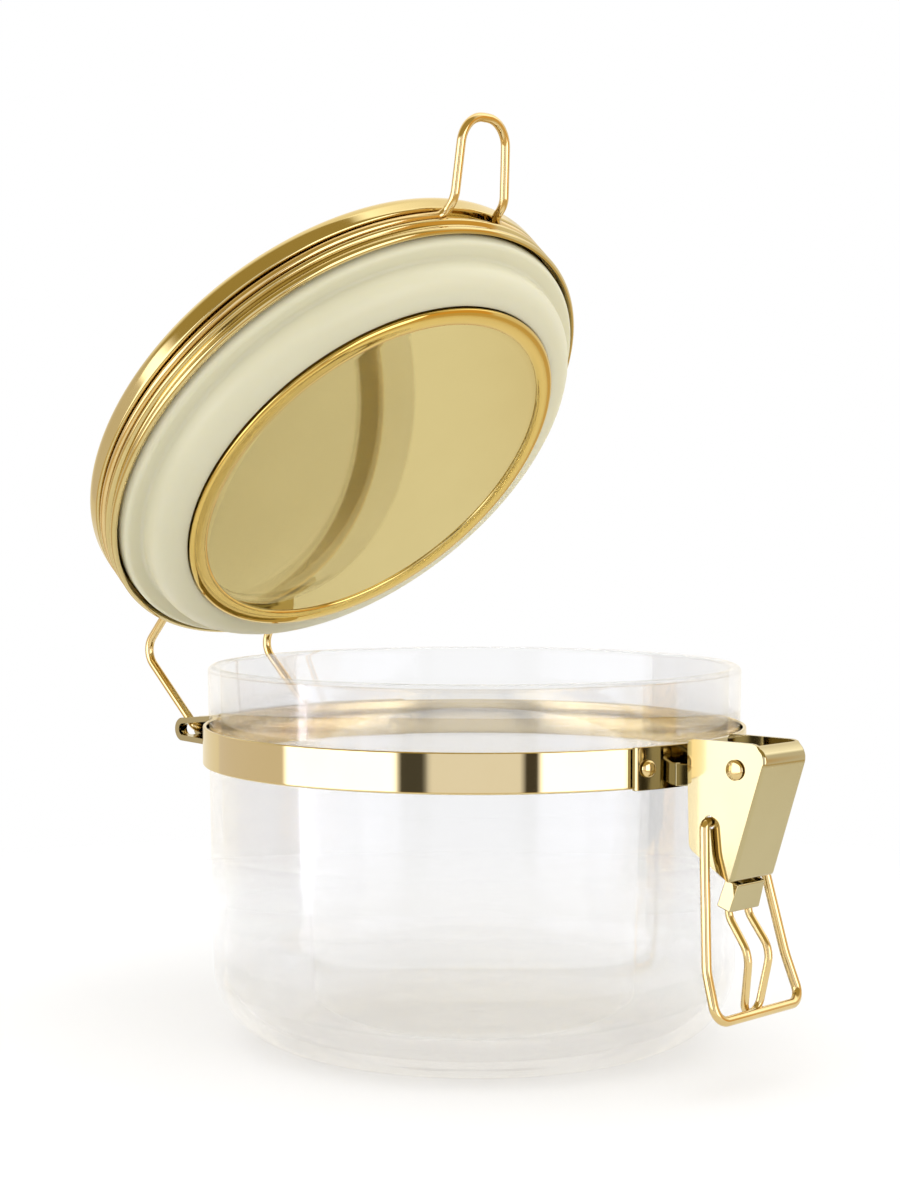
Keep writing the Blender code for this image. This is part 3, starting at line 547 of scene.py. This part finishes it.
def makeGasket():
    size = gasketSizes
    low, high = (height / mm for height in closedSpan("lid_gasket"))
    coverLow = closedSpan("lid_cover")[0] / mm
    inside, edge, inner, outer = size["inside"], coverRadius / mm, size["plugRound"], size["lipRound"]
    bend = size["insideRound"]
    profile = [(inside, high), (inside, low + bend)]
    profile += arcPoints((inside + bend, low + bend), bend, 180, 270, 4)[1:]
    # the plug bulges towards the jar's wall, then a shoulder lies over the rim
    plug, shoulder = jarRadius / mm - jarSizes["wall"] - size["wallGap"], jarTop / mm + size["rimGap"]
    foot, bottom, belly = size["foot"], low + 0.05, low + size["belly"]
    for step in range(1, 9):
        turn = math.radians(90 * step / 8)
        profile.append((foot + (plug - foot) * math.sin(turn), belly - (belly - bottom) * math.cos(turn)))
    profile += arcPoints((plug + inner, shoulder - inner), inner, 180, 90, 4)
    profile += arcPoints((edge - 3.3, shoulder + outer), outer, -90, -10, 5)
    # the flange that the cover holds
    profile += [(edge - 2.0, coverLow + 0.5), (edge - 1.9, coverLow + 1.2), (edge - 3.9, coverLow + 2.8)]
    profile += [(edge - 4.2, high)]
    gasket = turnRings(profile, size["sides"], joined=True)
    swingOpen(gasket)
    finishPiece(gasket, "sealRing", "lid", ["lid_gasket"], silicone, smooth=60)


wireSizes = {"radius": 1.0, "legs": 37.0, "legSpread": 5.5, "legBends": (4.5, 3.5), "hingeBend": 1.35,
             "hingeEnd": 0.45, "catch": 13.0, "catchSpread": 5.0, "splay": 1.2, "start": 3.4, "rise": 37.0,
             "length": 17.5, "catchBends": (2.6, 5.0), "tipRound": 0.95, "steps": 80}


def makeLidWire():
    size = wireSizes
    thick = size["radius"] * mm
    ring = coverRadius - thick
    height = closedSpan("lid_cover")[0] + coverSizes["groove"] * mm
    leg, catch = size["legs"] * mm / 2, size["catch"] * mm / 2
    foot = catch + size["splay"] * mm
    rear = math.asin((leg + size["legSpread"] * mm) / ring)
    front = math.pi - math.asin((foot + size["catchSpread"] * mm) / ring)
    rise = math.radians(size["rise"])
    bendY = -(coverRadius + size["start"] * mm)

    def onRing(angle):
        return Vector((ring * math.sin(angle), ring * math.cos(angle), height))

    def tangentAt(angle, x):
        spot = onRing(angle)
        return Vector((x, spot.y + math.sin(angle) * (spot.x - x) / math.cos(angle), height))

    # from the hinge end up the rear leg, round the groove, and out into the catch loop
    walk = [onRing(rear + (front - rear) * step / size["steps"]) for step in range(size["steps"] + 1)]
    start = [(leg * size["hingeEnd"], hinge.y, hinge.z), (leg, hinge.y, hinge.z), (leg, hinge.y, height)]
    start += [tangentAt(rear, leg), walk[0]]
    start = roundPath(start, [thick * size["hingeBend"]] + [bend * mm for bend in size["legBends"]])
    tip = bendY - size["length"] * mm * math.cos(rise)
    tipHeight = height + size["length"] * mm * math.sin(rise)
    end = [walk[-1], tangentAt(front, foot), (foot, bendY, height)]
    end += [(catch, tip, tipHeight), (0, tip, tipHeight)]
    end = roundPath(end, [bend * mm for bend in size["catchBends"]] + [catch * size["tipRound"]], 16)
    half = start[:-1] + walk + end[1:]
    lidWire = roundWire(mirrorPath(half), thick)
    swingOpen(lidWire)
    finishPiece(lidWire, "lidWire", "lid", ["lid_wire"], wireFinish, smooth=60)


makeCover()
makeInnerPlate()
makeGasket()
makeLidWire()
print("lid made")


# Brackets, each a curved plate on the band that a fold or two ears grow from

bracketSizes = {"sheet": 1.0, "gap": 0.3, "lip": 0.2, "root": 1.0, "clearance": 0.8, "edge": 0.18,
                "rivetHole": 1.2, "past": 10.0}


def makeSaddle(wing, facing):
    # the plate's cross-section is spun about the jar's axis
    sheet, lip = bracketSizes["sheet"] * mm, bracketSizes["lip"] * mm
    low, high = bandLow - lip, bandHigh + lip
    inside = bandRadius + bracketSizes["gap"] * mm
    putDown()
    bpy.ops.mesh.primitive_plane_add(size=1, location=(0, 0, 0))
    saddle = bpy.context.object
    saddle.scale = (sheet, high - low, 1)
    saddle.rotation_euler = (math.pi / 2, 0, 0)
    saddle.location = (inside + sheet / 2, 0, (low + high) / 2)
    bpy.ops.object.transform_apply(location=True, rotation=True, scale=True)
    editAll()
    bpy.ops.transform.rotate(value=-math.radians(facing - wing), orient_axis="Z", center_override=(0, 0, 0))
    bpy.ops.mesh.spin(steps=40, angle=-math.radians(wing * 2), center=(0, 0, 0), axis=(0, 0, 1))
    bpy.ops.mesh.select_all(action="SELECT")
    bpy.ops.mesh.remove_doubles(threshold=mergeWithin)
    bpy.ops.mesh.normals_make_consistent(inside=False)
    bpy.ops.object.mode_set(mode="OBJECT")
    return saddle


def bandClearance():
    # what keeps folds and ears off the band
    past, radius = bracketSizes["past"] * mm, bandRadius + bracketSizes["clearance"] * mm
    return holeRod((0, 0, bandLow - past), (0, 0, bandHigh + past), radius, 256)


def drillRivets(piece, facing, spread):
    middle = (bandLow + bandHigh) / 2
    for side in (-1, 1):
        angle = math.radians(facing + side * spread)
        start, end = (Vector((radius * math.cos(angle), radius * math.sin(angle), middle))
                      for radius in (bandRadius - 2 * mm, bandRadius + 4 * mm))
        cut(piece, holeRod(start, end, bracketSizes["rivetHole"] * mm, 24))


hingeSizes = {"wing": 30.2, "root": 27, "width": 45.0, "fold": 2.7, "foldTurn": 75, "bore": 1.35,
              "legs": 37.0, "slot": 1.55, "slotReach": 5.4, "slotMargin": 2, "rivetSpread": 24.84}


def foldOutline(radius, root, low, high):
    turn = hingeSizes["foldTurn"]
    return [(root, low)] + arcPoints((hinge.y, hinge.z), radius, -turn, turn, 18) + [(root, high)]


def legSweep():
    # where a rear leg passes as the lid goes from closed, when it stands upright, to fully open
    travel, margin = joints["lid_hinge"]["range_deg"], hingeSizes["slotMargin"]
    clear, reach = hingeSizes["bore"] * mm, hingeSizes["slotReach"] * mm
    first, last = 90 + margin, 90 - margin - (travel[1] - travel[0])
    middle = Vector((hinge.y, hinge.z))
    edges = []
    for degrees, side in ((first, 1), (last, -1)):
        along = Vector((math.cos(math.radians(degrees)), math.sin(math.radians(degrees))))
        near = middle + Vector((-along.y, along.x)) * side * clear
        edges.append([tuple(near), tuple(near + along * reach)])
    return edges[0] + arcPoints(middle, reach * 1.2, first, last, 12) + edges[1][::-1]


def makeHingeBracket():
    size = hingeSizes
    half, sheet, rootDepth = size["width"] * mm / 2, bracketSizes["sheet"] * mm, bracketSizes["root"] * mm
    root = (bandRadius + bracketSizes["gap"] * mm) * math.cos(math.radians(size["root"])) - rootDepth
    bracket = extrudeOutline(foldOutline(size["fold"] * mm, root, bandLow, bandHigh), -half, half)
    hollow = foldOutline(size["bore"] * mm, root - rootDepth, bandLow + sheet, bandHigh - sheet)
    cut(bracket, extrudeOutline(hollow, -half - sheet, half + sheet))
    cut(bracket, bandClearance())
    cut(bracket, makeSaddle(size["wing"], 90), "UNION")
    for side in (-1, 1):
        middle, slot = side * size["legs"] * mm / 2, size["slot"] * mm
        cut(bracket, extrudeOutline(legSweep(), middle - slot, middle + slot))
    drillRivets(bracket, 90, size["rivetSpread"])
    softenEdges(bracket, bracketSizes["edge"] * mm, 2)
    finishPiece(bracket, "hingePlate", "jar", ["hinge_bracket"], fittingGold,
                smooth=40, flat=True)


latchSizes = {"wing": 15.5, "ears": 11.1, "earRound": 3.1, "earTurn": (285, 92), "earLow": 0.2,
              "earFoot": 1.0, "earShoulder": 2.0, "earRise": 0.56, "bore": 1.55, "rivetSpread": 12.4}


def makeLatchBracket():
    size = latchSizes
    sheet, outside = bracketSizes["sheet"] * mm, size["ears"] * mm / 2
    bracket = makeSaddle(size["wing"], -90)
    inside = bandRadius + bracketSizes["gap"] * mm
    root = -(inside * math.cos(math.radians(size["wing"])) - bracketSizes["root"] * mm)
    plate, low = inside + sheet, bandLow + size["earLow"] * mm
    high = bandLow + (bandHigh - bandLow) * size["earRise"]
    outline = [(root, low), (-(plate + size["earFoot"] * mm), low)]
    outline += arcPoints((leverPin.y, leverPin.z), size["earRound"] * mm, *size["earTurn"], 24)
    outline += [(-(plate + size["earShoulder"] * mm), high), (root, high)]
    for side in (-1, 1):
        ear = extrudeOutline(outline, *sorted((side * outside, side * (outside - sheet))))
        cut(ear, bandClearance())
        cut(bracket, ear, "UNION")
    across = Vector((outside * 1.3, 0, 0))
    cut(bracket, holeRod(leverPin - across, leverPin + across, size["bore"] * mm))
    drillRivets(bracket, -90, size["rivetSpread"])
    softenEdges(bracket, bracketSizes["edge"] * mm, 2)
    finishPiece(bracket, "latchPlate", "jar", ["latch_bracket"], fittingGold,
                smooth=40, flat=True)


rivetSizes = {"shank": 0.9, "head": 1.7, "base": 1.6, "edge": 0.12, "dome": 0.71, "below": 0.64,
              "pole": 0.3, "domeSteps": 9, "sides": 40}


def makeRivet(name, node):
    size = rivetSizes
    low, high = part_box(node)
    angle = math.atan2((low.y + high.y) / 2, (low.x + high.x) / 2)
    bottom, base, head = bandRadius / mm - size["below"], bandRadius / mm + size["base"], size["head"]
    profile = [(size["pole"], bottom), (size["shank"], bottom), (size["shank"], base)]
    profile += [(head - size["edge"], base), (head, base + size["edge"])]
    for step in range(1, size["domeSteps"]):
        turn = step / size["domeSteps"] * math.pi / 2
        profile.append((head * math.cos(turn), base + size["edge"] + size["dome"] * math.sin(turn)))
    rivet = turnRings(profile, size["sides"])
    rivet.rotation_euler = (0, math.pi / 2, angle)
    rivet.location = (0, 0, (bandLow + bandHigh) / 2)
    finishPiece(rivet, name, "jar", [node], wireFinish, smooth=50)


makeHingeBracket()
makeLatchBracket()
makeRivet("hingeRivetLeft", "hinge_rivet_left")
makeRivet("hingeRivetRight", "hinge_rivet_right")
makeRivet("latchRivetLeft", "latch_rivet_left")
makeRivet("latchRivetRight", "latch_rivet_right")
print("brackets made")


# Lever

leverSizes = {"width": 13.8, "sheet": 0.9, "tilt": 17.8, "drop": 21.5, "rise": 4.5, "crown": 2.8,
              "topRun": 3.4, "webOffset": 6.0, "depth": 11.5, "taper": 0.4, "belowEye": 5.5,
              "rounds": (1.2, 3.4, 1.0, 2.2), "fold": 0.75, "lipUp": 0.3, "lipReach": 1.2, "lipEdge": 2.2,
              "lipThick": 1.05, "pinHole": 1.5, "eyeHole": 1.35, "edge": 0.14}


def onWeb(along, out):
    # the (y, z) place this far down along the lever's web and this far out from the pin
    tilt = math.radians(leverSizes["tilt"])
    y = leverPin.y + (math.sin(tilt) * along - math.cos(tilt) * out) * mm
    z = leverPin.z + (-math.cos(tilt) * along - math.sin(tilt) * out) * mm
    return (y, z)


def makeLever():
    size = leverSizes
    half, sheet = size["width"] * mm / 2, size["sheet"] * mm
    free = leverPin.y + size["depth"] * mm
    top = onWeb(-size["rise"], size["webOffset"])[1] + size["crown"] * mm
    webTop = onWeb(-size["rise"] - size["topRun"], size["webOffset"])
    webBottom = onWeb(size["drop"], size["webOffset"])
    corners = [(free, leverPin.z), (free, top), (webTop[0], top), webBottom]
    corners += [(free - size["taper"] * mm, linkEye.z - size["belowEye"] * mm), (free, leverPin.z)]
    path = roundPath([(0, y, z) for y, z in corners], [radius * mm for radius in size["rounds"]])[:-1]
    lever = extrudeOutline([(place.y, place.z) for place in path], -half, half)
    takeUp(lever)
    editAll()
    tilt = math.radians(size["tilt"])
    outward = Vector((0, -math.cos(tilt), -math.sin(tilt)))

    def isFold(edge):
        # the two long edges where the web folds into the cheeks
        facing = [face.normal.dot(outward) for face in edge.link_faces]
        besideCheek = any(abs(face.normal.x) > 0.9 for face in edge.link_faces)
        return len(facing) == 2 and min(facing) > -0.2 and max(facing) > 0.25 and besideCheek

    choose("EDGE", isFold)
    bpy.ops.mesh.bevel(offset=size["fold"] * mm, segments=5, affect="EDGES")
    # the pocket is open towards the jar and below, and leaves a lip at the top
    inner, lip = size["webOffset"] - size["sheet"], onWeb(-size["rise"], size["webOffset"] - size["sheet"])[0]
    behind, above = leverPin.y + 20 * mm, top + 2 * mm
    pocket = [(behind, leverPin.z - 30 * mm), onWeb(size["drop"] + 4.0, inner)]
    pocket += [onWeb(-size["rise"] + size["lipUp"], inner)]
    pocket += [(lip + size["lipReach"] * mm, top - sheet * size["lipThick"])]
    pocket += [(lip + size["lipEdge"] * mm, above), (behind, above)]
    cut(lever, extrudeOutline(pocket, sheet - half, half - sheet))
    across = Vector((half * 1.4, 0, 0))
    cut(lever, holeRod(leverPin - across, leverPin + across, size["pinHole"] * mm, 40))
    cut(lever, holeRod(linkEye - across, linkEye + across, size["eyeHole"] * mm, 40))
    softenEdges(lever, size["edge"] * mm, 2, 40)
    finishPiece(lever, "leverArm", "lever", ["latch_lever"], fittingGold, smooth=40, flat=True)


pinSizes = {"shank": 1.2, "cap": 0.6, "edge": 0.1, "dome": 0.5, "domeTurns": (0.3, 0.6, 0.9, 1.2, 1.45),
            "sides": 48}


def makeLeverPin():
    size = pinSizes
    low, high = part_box("lever_pin")
    head, inner = (high.y - low.y) / 2 / mm, high.x / mm - size["cap"]
    cap = [(size["shank"], inner), (head - size["edge"], inner), (head, inner + size["edge"])]
    for turn in size["domeTurns"]:
        cap.append((head * math.cos(turn), inner + size["edge"] + size["dome"] * math.sin(turn)))
    profile = [(radius, -height) for radius, height in reversed(cap)] + cap
    pin = turnRings(profile, size["sides"])
    pin.rotation_euler = (0, math.pi / 2, 0)
    pin.location = leverPin
    finishPiece(pin, "leverPin", "lever", ["lever_pin"], wireFinish, smooth=50)


clipSizes = {"length": 5.8, "wide": 8.6, "gap": 0.3, "thick": 3.4, "wall": 0.9, "bore": 0.35, "edge": 0.3}
loopSizes = {"wire": 0.8, "width": 6.2, "belly": 5.2, "bellyAlong": 0.42, "bellyOut": 0.75,
             "bellyWide": 1.12, "tipWide": 0.75, "bends": (4, 6), "tipRound": 0.85, "gap": 0.39}
linkSizes = {"wire": 1.0, "width": 27.5, "hang": 11.0, "bow": 1.4, "inEye": 2.1, "besideCheek": 0.6,
             "bends": (1.3, 12, 15, 3)}


def linkReach():
    # the link's length, from its eye to its bar
    drop = linkEye.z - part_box("catch_link")[0].z - linkSizes["wire"] * mm
    return drop / math.cos(math.radians(linkSizes["hang"]))


def makeClip():
    size = clipSizes
    half = size["wide"] * mm / 2
    start = leverSizes["drop"] + size["gap"]
    end = start + size["length"]
    outer, inner = leverSizes["webOffset"], leverSizes["webOffset"] - size["thick"]
    narrow = (loopSizes["width"] / 2 + loopSizes["wire"] + size["wall"]) / (size["wide"] / 2)
    outline = [onWeb(start, outer), onWeb(start, inner), onWeb(end, inner), onWeb(end, outer)]
    clip = extrudeOutline(outline, -half, half)
    takeUp(clip)
    editAll()
    endHeight = (onWeb(end, outer)[1] + onWeb(end, inner)[1]) / 2 + 1.2 * mm
    choose("VERT", lambda vert: vert.co.z < endHeight)
    bpy.ops.transform.resize(value=(narrow, 1, 1), center_override=(0, 0, 0))
    out, bore = (outer + inner) / 2, (loopSizes["wire"] + size["bore"]) * mm
    for side in (-1, 1):
        x = side * loopSizes["width"] / 2 * mm
        cut(clip, holeRod((x, *onWeb(start - 2, out)), (x, *onWeb(end + 2, out)), bore, 24))
    softenEdges(clip, size["edge"] * mm, 3)
    finishPiece(clip, "loopClip", "lever", ["loop_clip"], fittingGold, smooth=40, flat=True)


def makeFingerLoop():
    # two bowed sides that meet just inside the link's bar
    size = loopSizes
    half, out = size["width"] / 2 * mm, leverSizes["webOffset"] - clipSizes["thick"] / 2
    start, end = leverSizes["drop"] + 0.9, leverSizes["drop"] + clipSizes["length"]
    clipEnd = Vector((0, *onWeb(end, out)))
    reach = linkReach()
    lean = math.radians(linkSizes["hang"])
    lean -= math.asin((linkSizes["wire"] + size["wire"] + size["gap"]) * mm / reach)
    tip = linkEye + Vector((0, -reach * math.sin(lean), -reach * math.cos(lean)))
    belly = clipEnd + (tip - clipEnd) * size["bellyAlong"]
    belly += Vector((half * size["bellyWide"], -size["belly"] * size["bellyOut"] * mm, 0))
    side = [Vector((half, *onWeb(start, out))), Vector((half, *onWeb(end + 1.2, out))), belly]
    side += [tip + Vector((half * size["tipWide"], 0, 0)), tip]
    path = roundPath(side, [bend * mm for bend in size["bends"]] + [half * size["tipRound"]], 12)
    loop = roundWire(mirrorPath(path), size["wire"] * mm)
    finishPiece(loop, "fingerLoop", "lever", ["finger_loop"], wireFinish, smooth=60)


def makeLink():
    size = linkSizes
    cheek, half = leverSizes["width"] * mm / 2, size["width"] * mm / 2
    thick, reach, bow = size["wire"] * mm, linkReach(), size["bow"] * mm
    legTop = cheek + size["besideCheek"] * mm + thick
    hang = math.radians(size["hang"])
    down = Vector((0, -math.sin(hang), -math.cos(hang)))
    inward = Vector((0, math.cos(hang), -math.sin(hang)))

    def onLeg(x, along, bowed=0.0):
        return linkEye + Vector((x, 0, 0)) + down * reach * along + inward * bow * bowed

    # from inside the eye, out beside the cheek, down the bowed leg and along the bar
    side = [onLeg(cheek - size["inEye"] * mm, 0), onLeg(legTop, 0), onLeg(legTop + 0.4 * mm, 0.17, 0.6)]
    side += [onLeg(half - 1.0 * mm, 0.74, 1.0), onLeg(half, 1), onLeg(0, 1)]
    path = roundPath(side, [bend * mm for bend in size["bends"]], 12)
    link = roundWire(mirrorPath(path), thick)
    finishPiece(link, "catchLink", "link", ["catch_link"], wireFinish, smooth=60)


makeLever()
makeLeverPin()
makeClip()
makeFingerLoop()
makeLink()
print("latch made")


# Studio

studio = {"floorRadius": 0.32, "floorBelow": 0.05, "floorTone": 0.94, "floorVary": 0.01, "fadeStart": 0.14,
          "fadeEnd": 0.95, "backdrop": 1.0, "ambient": 1.0, "ceiling": (0.3, 0.45),
          "ground": (-0.18, -0.28), "cardEdge": 0.0035, "ceilingEdge": 0.06, "aim": 0.08}
# each card: where it starts, in degrees to the right of the camera, and its colour
cards = [(-180, (1.0, 0.92, 0.75)), (-134, (0.87, 0.79, 0.74)), (-84, (3.0, 3.0, 3.5)),
         (-31.5, (0.09, 0.085, 0.08)), (-19, (1.12, 1.12, 1.3)), (19.8, (0.08, 0.07, 0.06)),
         (26.8, (3.0, 3.0, 3.5)), (65.5, (0.90, 0.53, 0.14)), (100.7, (1.0, 0.95, 0.9)),
         (150, (1.0, 0.92, 0.75))]
# what hangs above the cards: dark brown in front, pale behind
ceiling = [(-180, (1.35, 1.27, 1.15)), (-115, (0.52, 0.40, 0.155)), (92, (2.2, 2.2, 2.3)),
           (122, (1.35, 1.27, 1.15))]
groundTone = (0.78, 0.60, 0.32, 1)
warmWhite = (1, 0.99, 0.97)
softboxes = {"overheadSoftbox": {"place": (-0.2, -0.3, 1.4), "side": 1.2, "watts": 3.6, "tone": warmWhite},
             "frontSoftbox": {"place": (-1.1, 0.1, 0.7), "side": 0.8, "watts": 1.3, "tone": warmWhite},
             "rightSoftbox": {"place": (0.75, -0.7, 0.25), "side": 0.6, "watts": 1.6, "tone": (1, 1, 1)}}
# the camera's place is in jar radii
cameraView = {"lens": 68.6, "sensor": 36, "clipStart": 0.01, "place": (-6.294, -5.867, 2.0214),
              "ahead": (0.7242, 0.6896), "down": 0.045}


class World(Finish):
    def __init__(self):
        self.world = bpy.data.worlds.new("studioWorld")
        self.world.use_nodes = True
        self.tree = self.world.node_tree
        self.background = self.tree.nodes["Background"]


def cardStops(strip, soft):
    stops = []
    for number, (start, tone) in enumerate(strip):
        place = (start + 180) / 360
        if number:
            stops.append((place - soft, (*strip[number - 1][1], 1)))
        stops.append((place + (soft if number else 0), (*tone, 1)))
    return stops + [(1.0, (*strip[-1][1], 1))]


def makeWorld(cameraPlace):
    world = World()
    bpy.context.scene.world = world.world
    facing = math.atan2(cameraPlace.y, cameraPlace.x)
    ray = world.node("ShaderNodeTexCoord", output="Generated")
    turned = world.node("ShaderNodeVectorRotate", {"rotation_type": "Z_AXIS"},
                        {"Vector": ray, "Angle": -facing})
    ahead, side, up = world.split(turned)
    angle = world.node("ShaderNodeMath", {"operation": "ARCTAN2"}, {0: side, 1: ahead})
    share = angle / (2 * math.pi) + 0.5
    around = world.node("ShaderNodeValToRGB", {"stops": cardStops(cards, studio["cardEdge"])}, {0: share})
    above = world.node("ShaderNodeValToRGB", {"stops": cardStops(ceiling, studio["ceilingEdge"])}, {0: share})
    overhead, beneath = world.fade(up, *studio["ceiling"]), world.fade(up, *studio["ground"])
    seen = world.blend(overhead, world.blend(beneath, around, groundTone), above)
    # what has been mirrored once sees the cards, also through the jar; the rest sees a plain white room
    glossyDepth = world.node("ShaderNodeLightPath", output="Glossy Depth")
    mirrored = world.node("ShaderNodeMath", {"operation": "GREATER_THAN"}, {0: glossyDepth, 1: 0.5})
    scattered = world.node("ShaderNodeLightPath", output="Is Diffuse Ray")
    color = world.blend(mirrored, (studio["backdrop"],) * 3 + (1,), seen)
    color = world.blend(scattered, color, (studio["ambient"],) * 3 + (1,))
    world.tree.links.new(color.socket, world.background.inputs["Color"])


def makeFloor():
    # the floor thins out into the white room towards its edge
    putDown()
    bpy.ops.mesh.primitive_circle_add(vertices=96, radius=studio["floorRadius"], fill_type="NGON",
                                      location=(0, 0, -studio["floorBelow"] * mm))
    bpy.ops.object.transform_apply(location=True, rotation=True, scale=True)
    floor = bpy.context.object
    floor.name = "floor"
    finish = Finish("paleFloor", Roughness=0.9)
    spot, tone = finish.place(), studio["floorTone"]
    pale, cloud = tone + studio["floorVary"], finish.noise(spot, 3.0)
    finish.feed("Base Color", finish.blend(cloud, (tone, tone, tone, 1), (pale, pale, pale, 1)))
    away = finish.node("ShaderNodeVectorMath", {"operation": "LENGTH"}, {0: spot}, output=1)
    thin = finish.fade(away, studio["fadeStart"], studio["floorRadius"] * studio["fadeEnd"])
    shaded, clear = Link(finish, finish.shader.outputs[0]), finish.node("ShaderNodeBsdfTransparent")
    surface = finish.node("ShaderNodeMixShader", {}, {0: thin, 1: shaded, 2: clear})
    finish.tree.links.new(surface.socket, finish.tree.nodes["Material Output"].inputs["Surface"])
    floor.data.materials.append(finish.material)


def makeSoftbox(name, place, side, watts, tone):
    data = bpy.data.lights.new(name, "AREA")
    data.shape, data.size, data.size_y = "RECTANGLE", side, side
    data.energy, data.color = watts, tone
    light = bpy.data.objects.new(name, data)
    light.location = place
    light.visible_glossy = False     # the metal mirrors the cards, not the lights
    aim = Vector((0, 0, studio["aim"])) - Vector(place)
    light.rotation_euler = aim.to_track_quat("-Z", "Y").to_euler()
    bpy.context.scene.collection.objects.link(light)


def makeCamera():
    view = cameraView
    data = bpy.data.cameras.new("camera")
    data.lens, data.sensor_width, data.clip_start = view["lens"], view["sensor"], view["clipStart"]
    camera = bpy.data.objects.new("camera", data)
    camera.location = Vector(view["place"]) * jarRadius
    down, (x, y) = view["down"], view["ahead"]
    look = Vector((x * math.cos(down), y * math.cos(down), -math.sin(down)))
    camera.rotation_euler = look.to_track_quat("-Z", "Y").to_euler()
    bpy.context.scene.collection.objects.link(camera)
    bpy.context.scene.camera = camera
    return camera


makeWorld(makeCamera().location)
makeFloor()
for softboxName, softbox in softboxes.items():
    makeSoftbox(softboxName, **softbox)
bpy.context.scene.view_settings.view_transform = "Standard"
print("studio made")
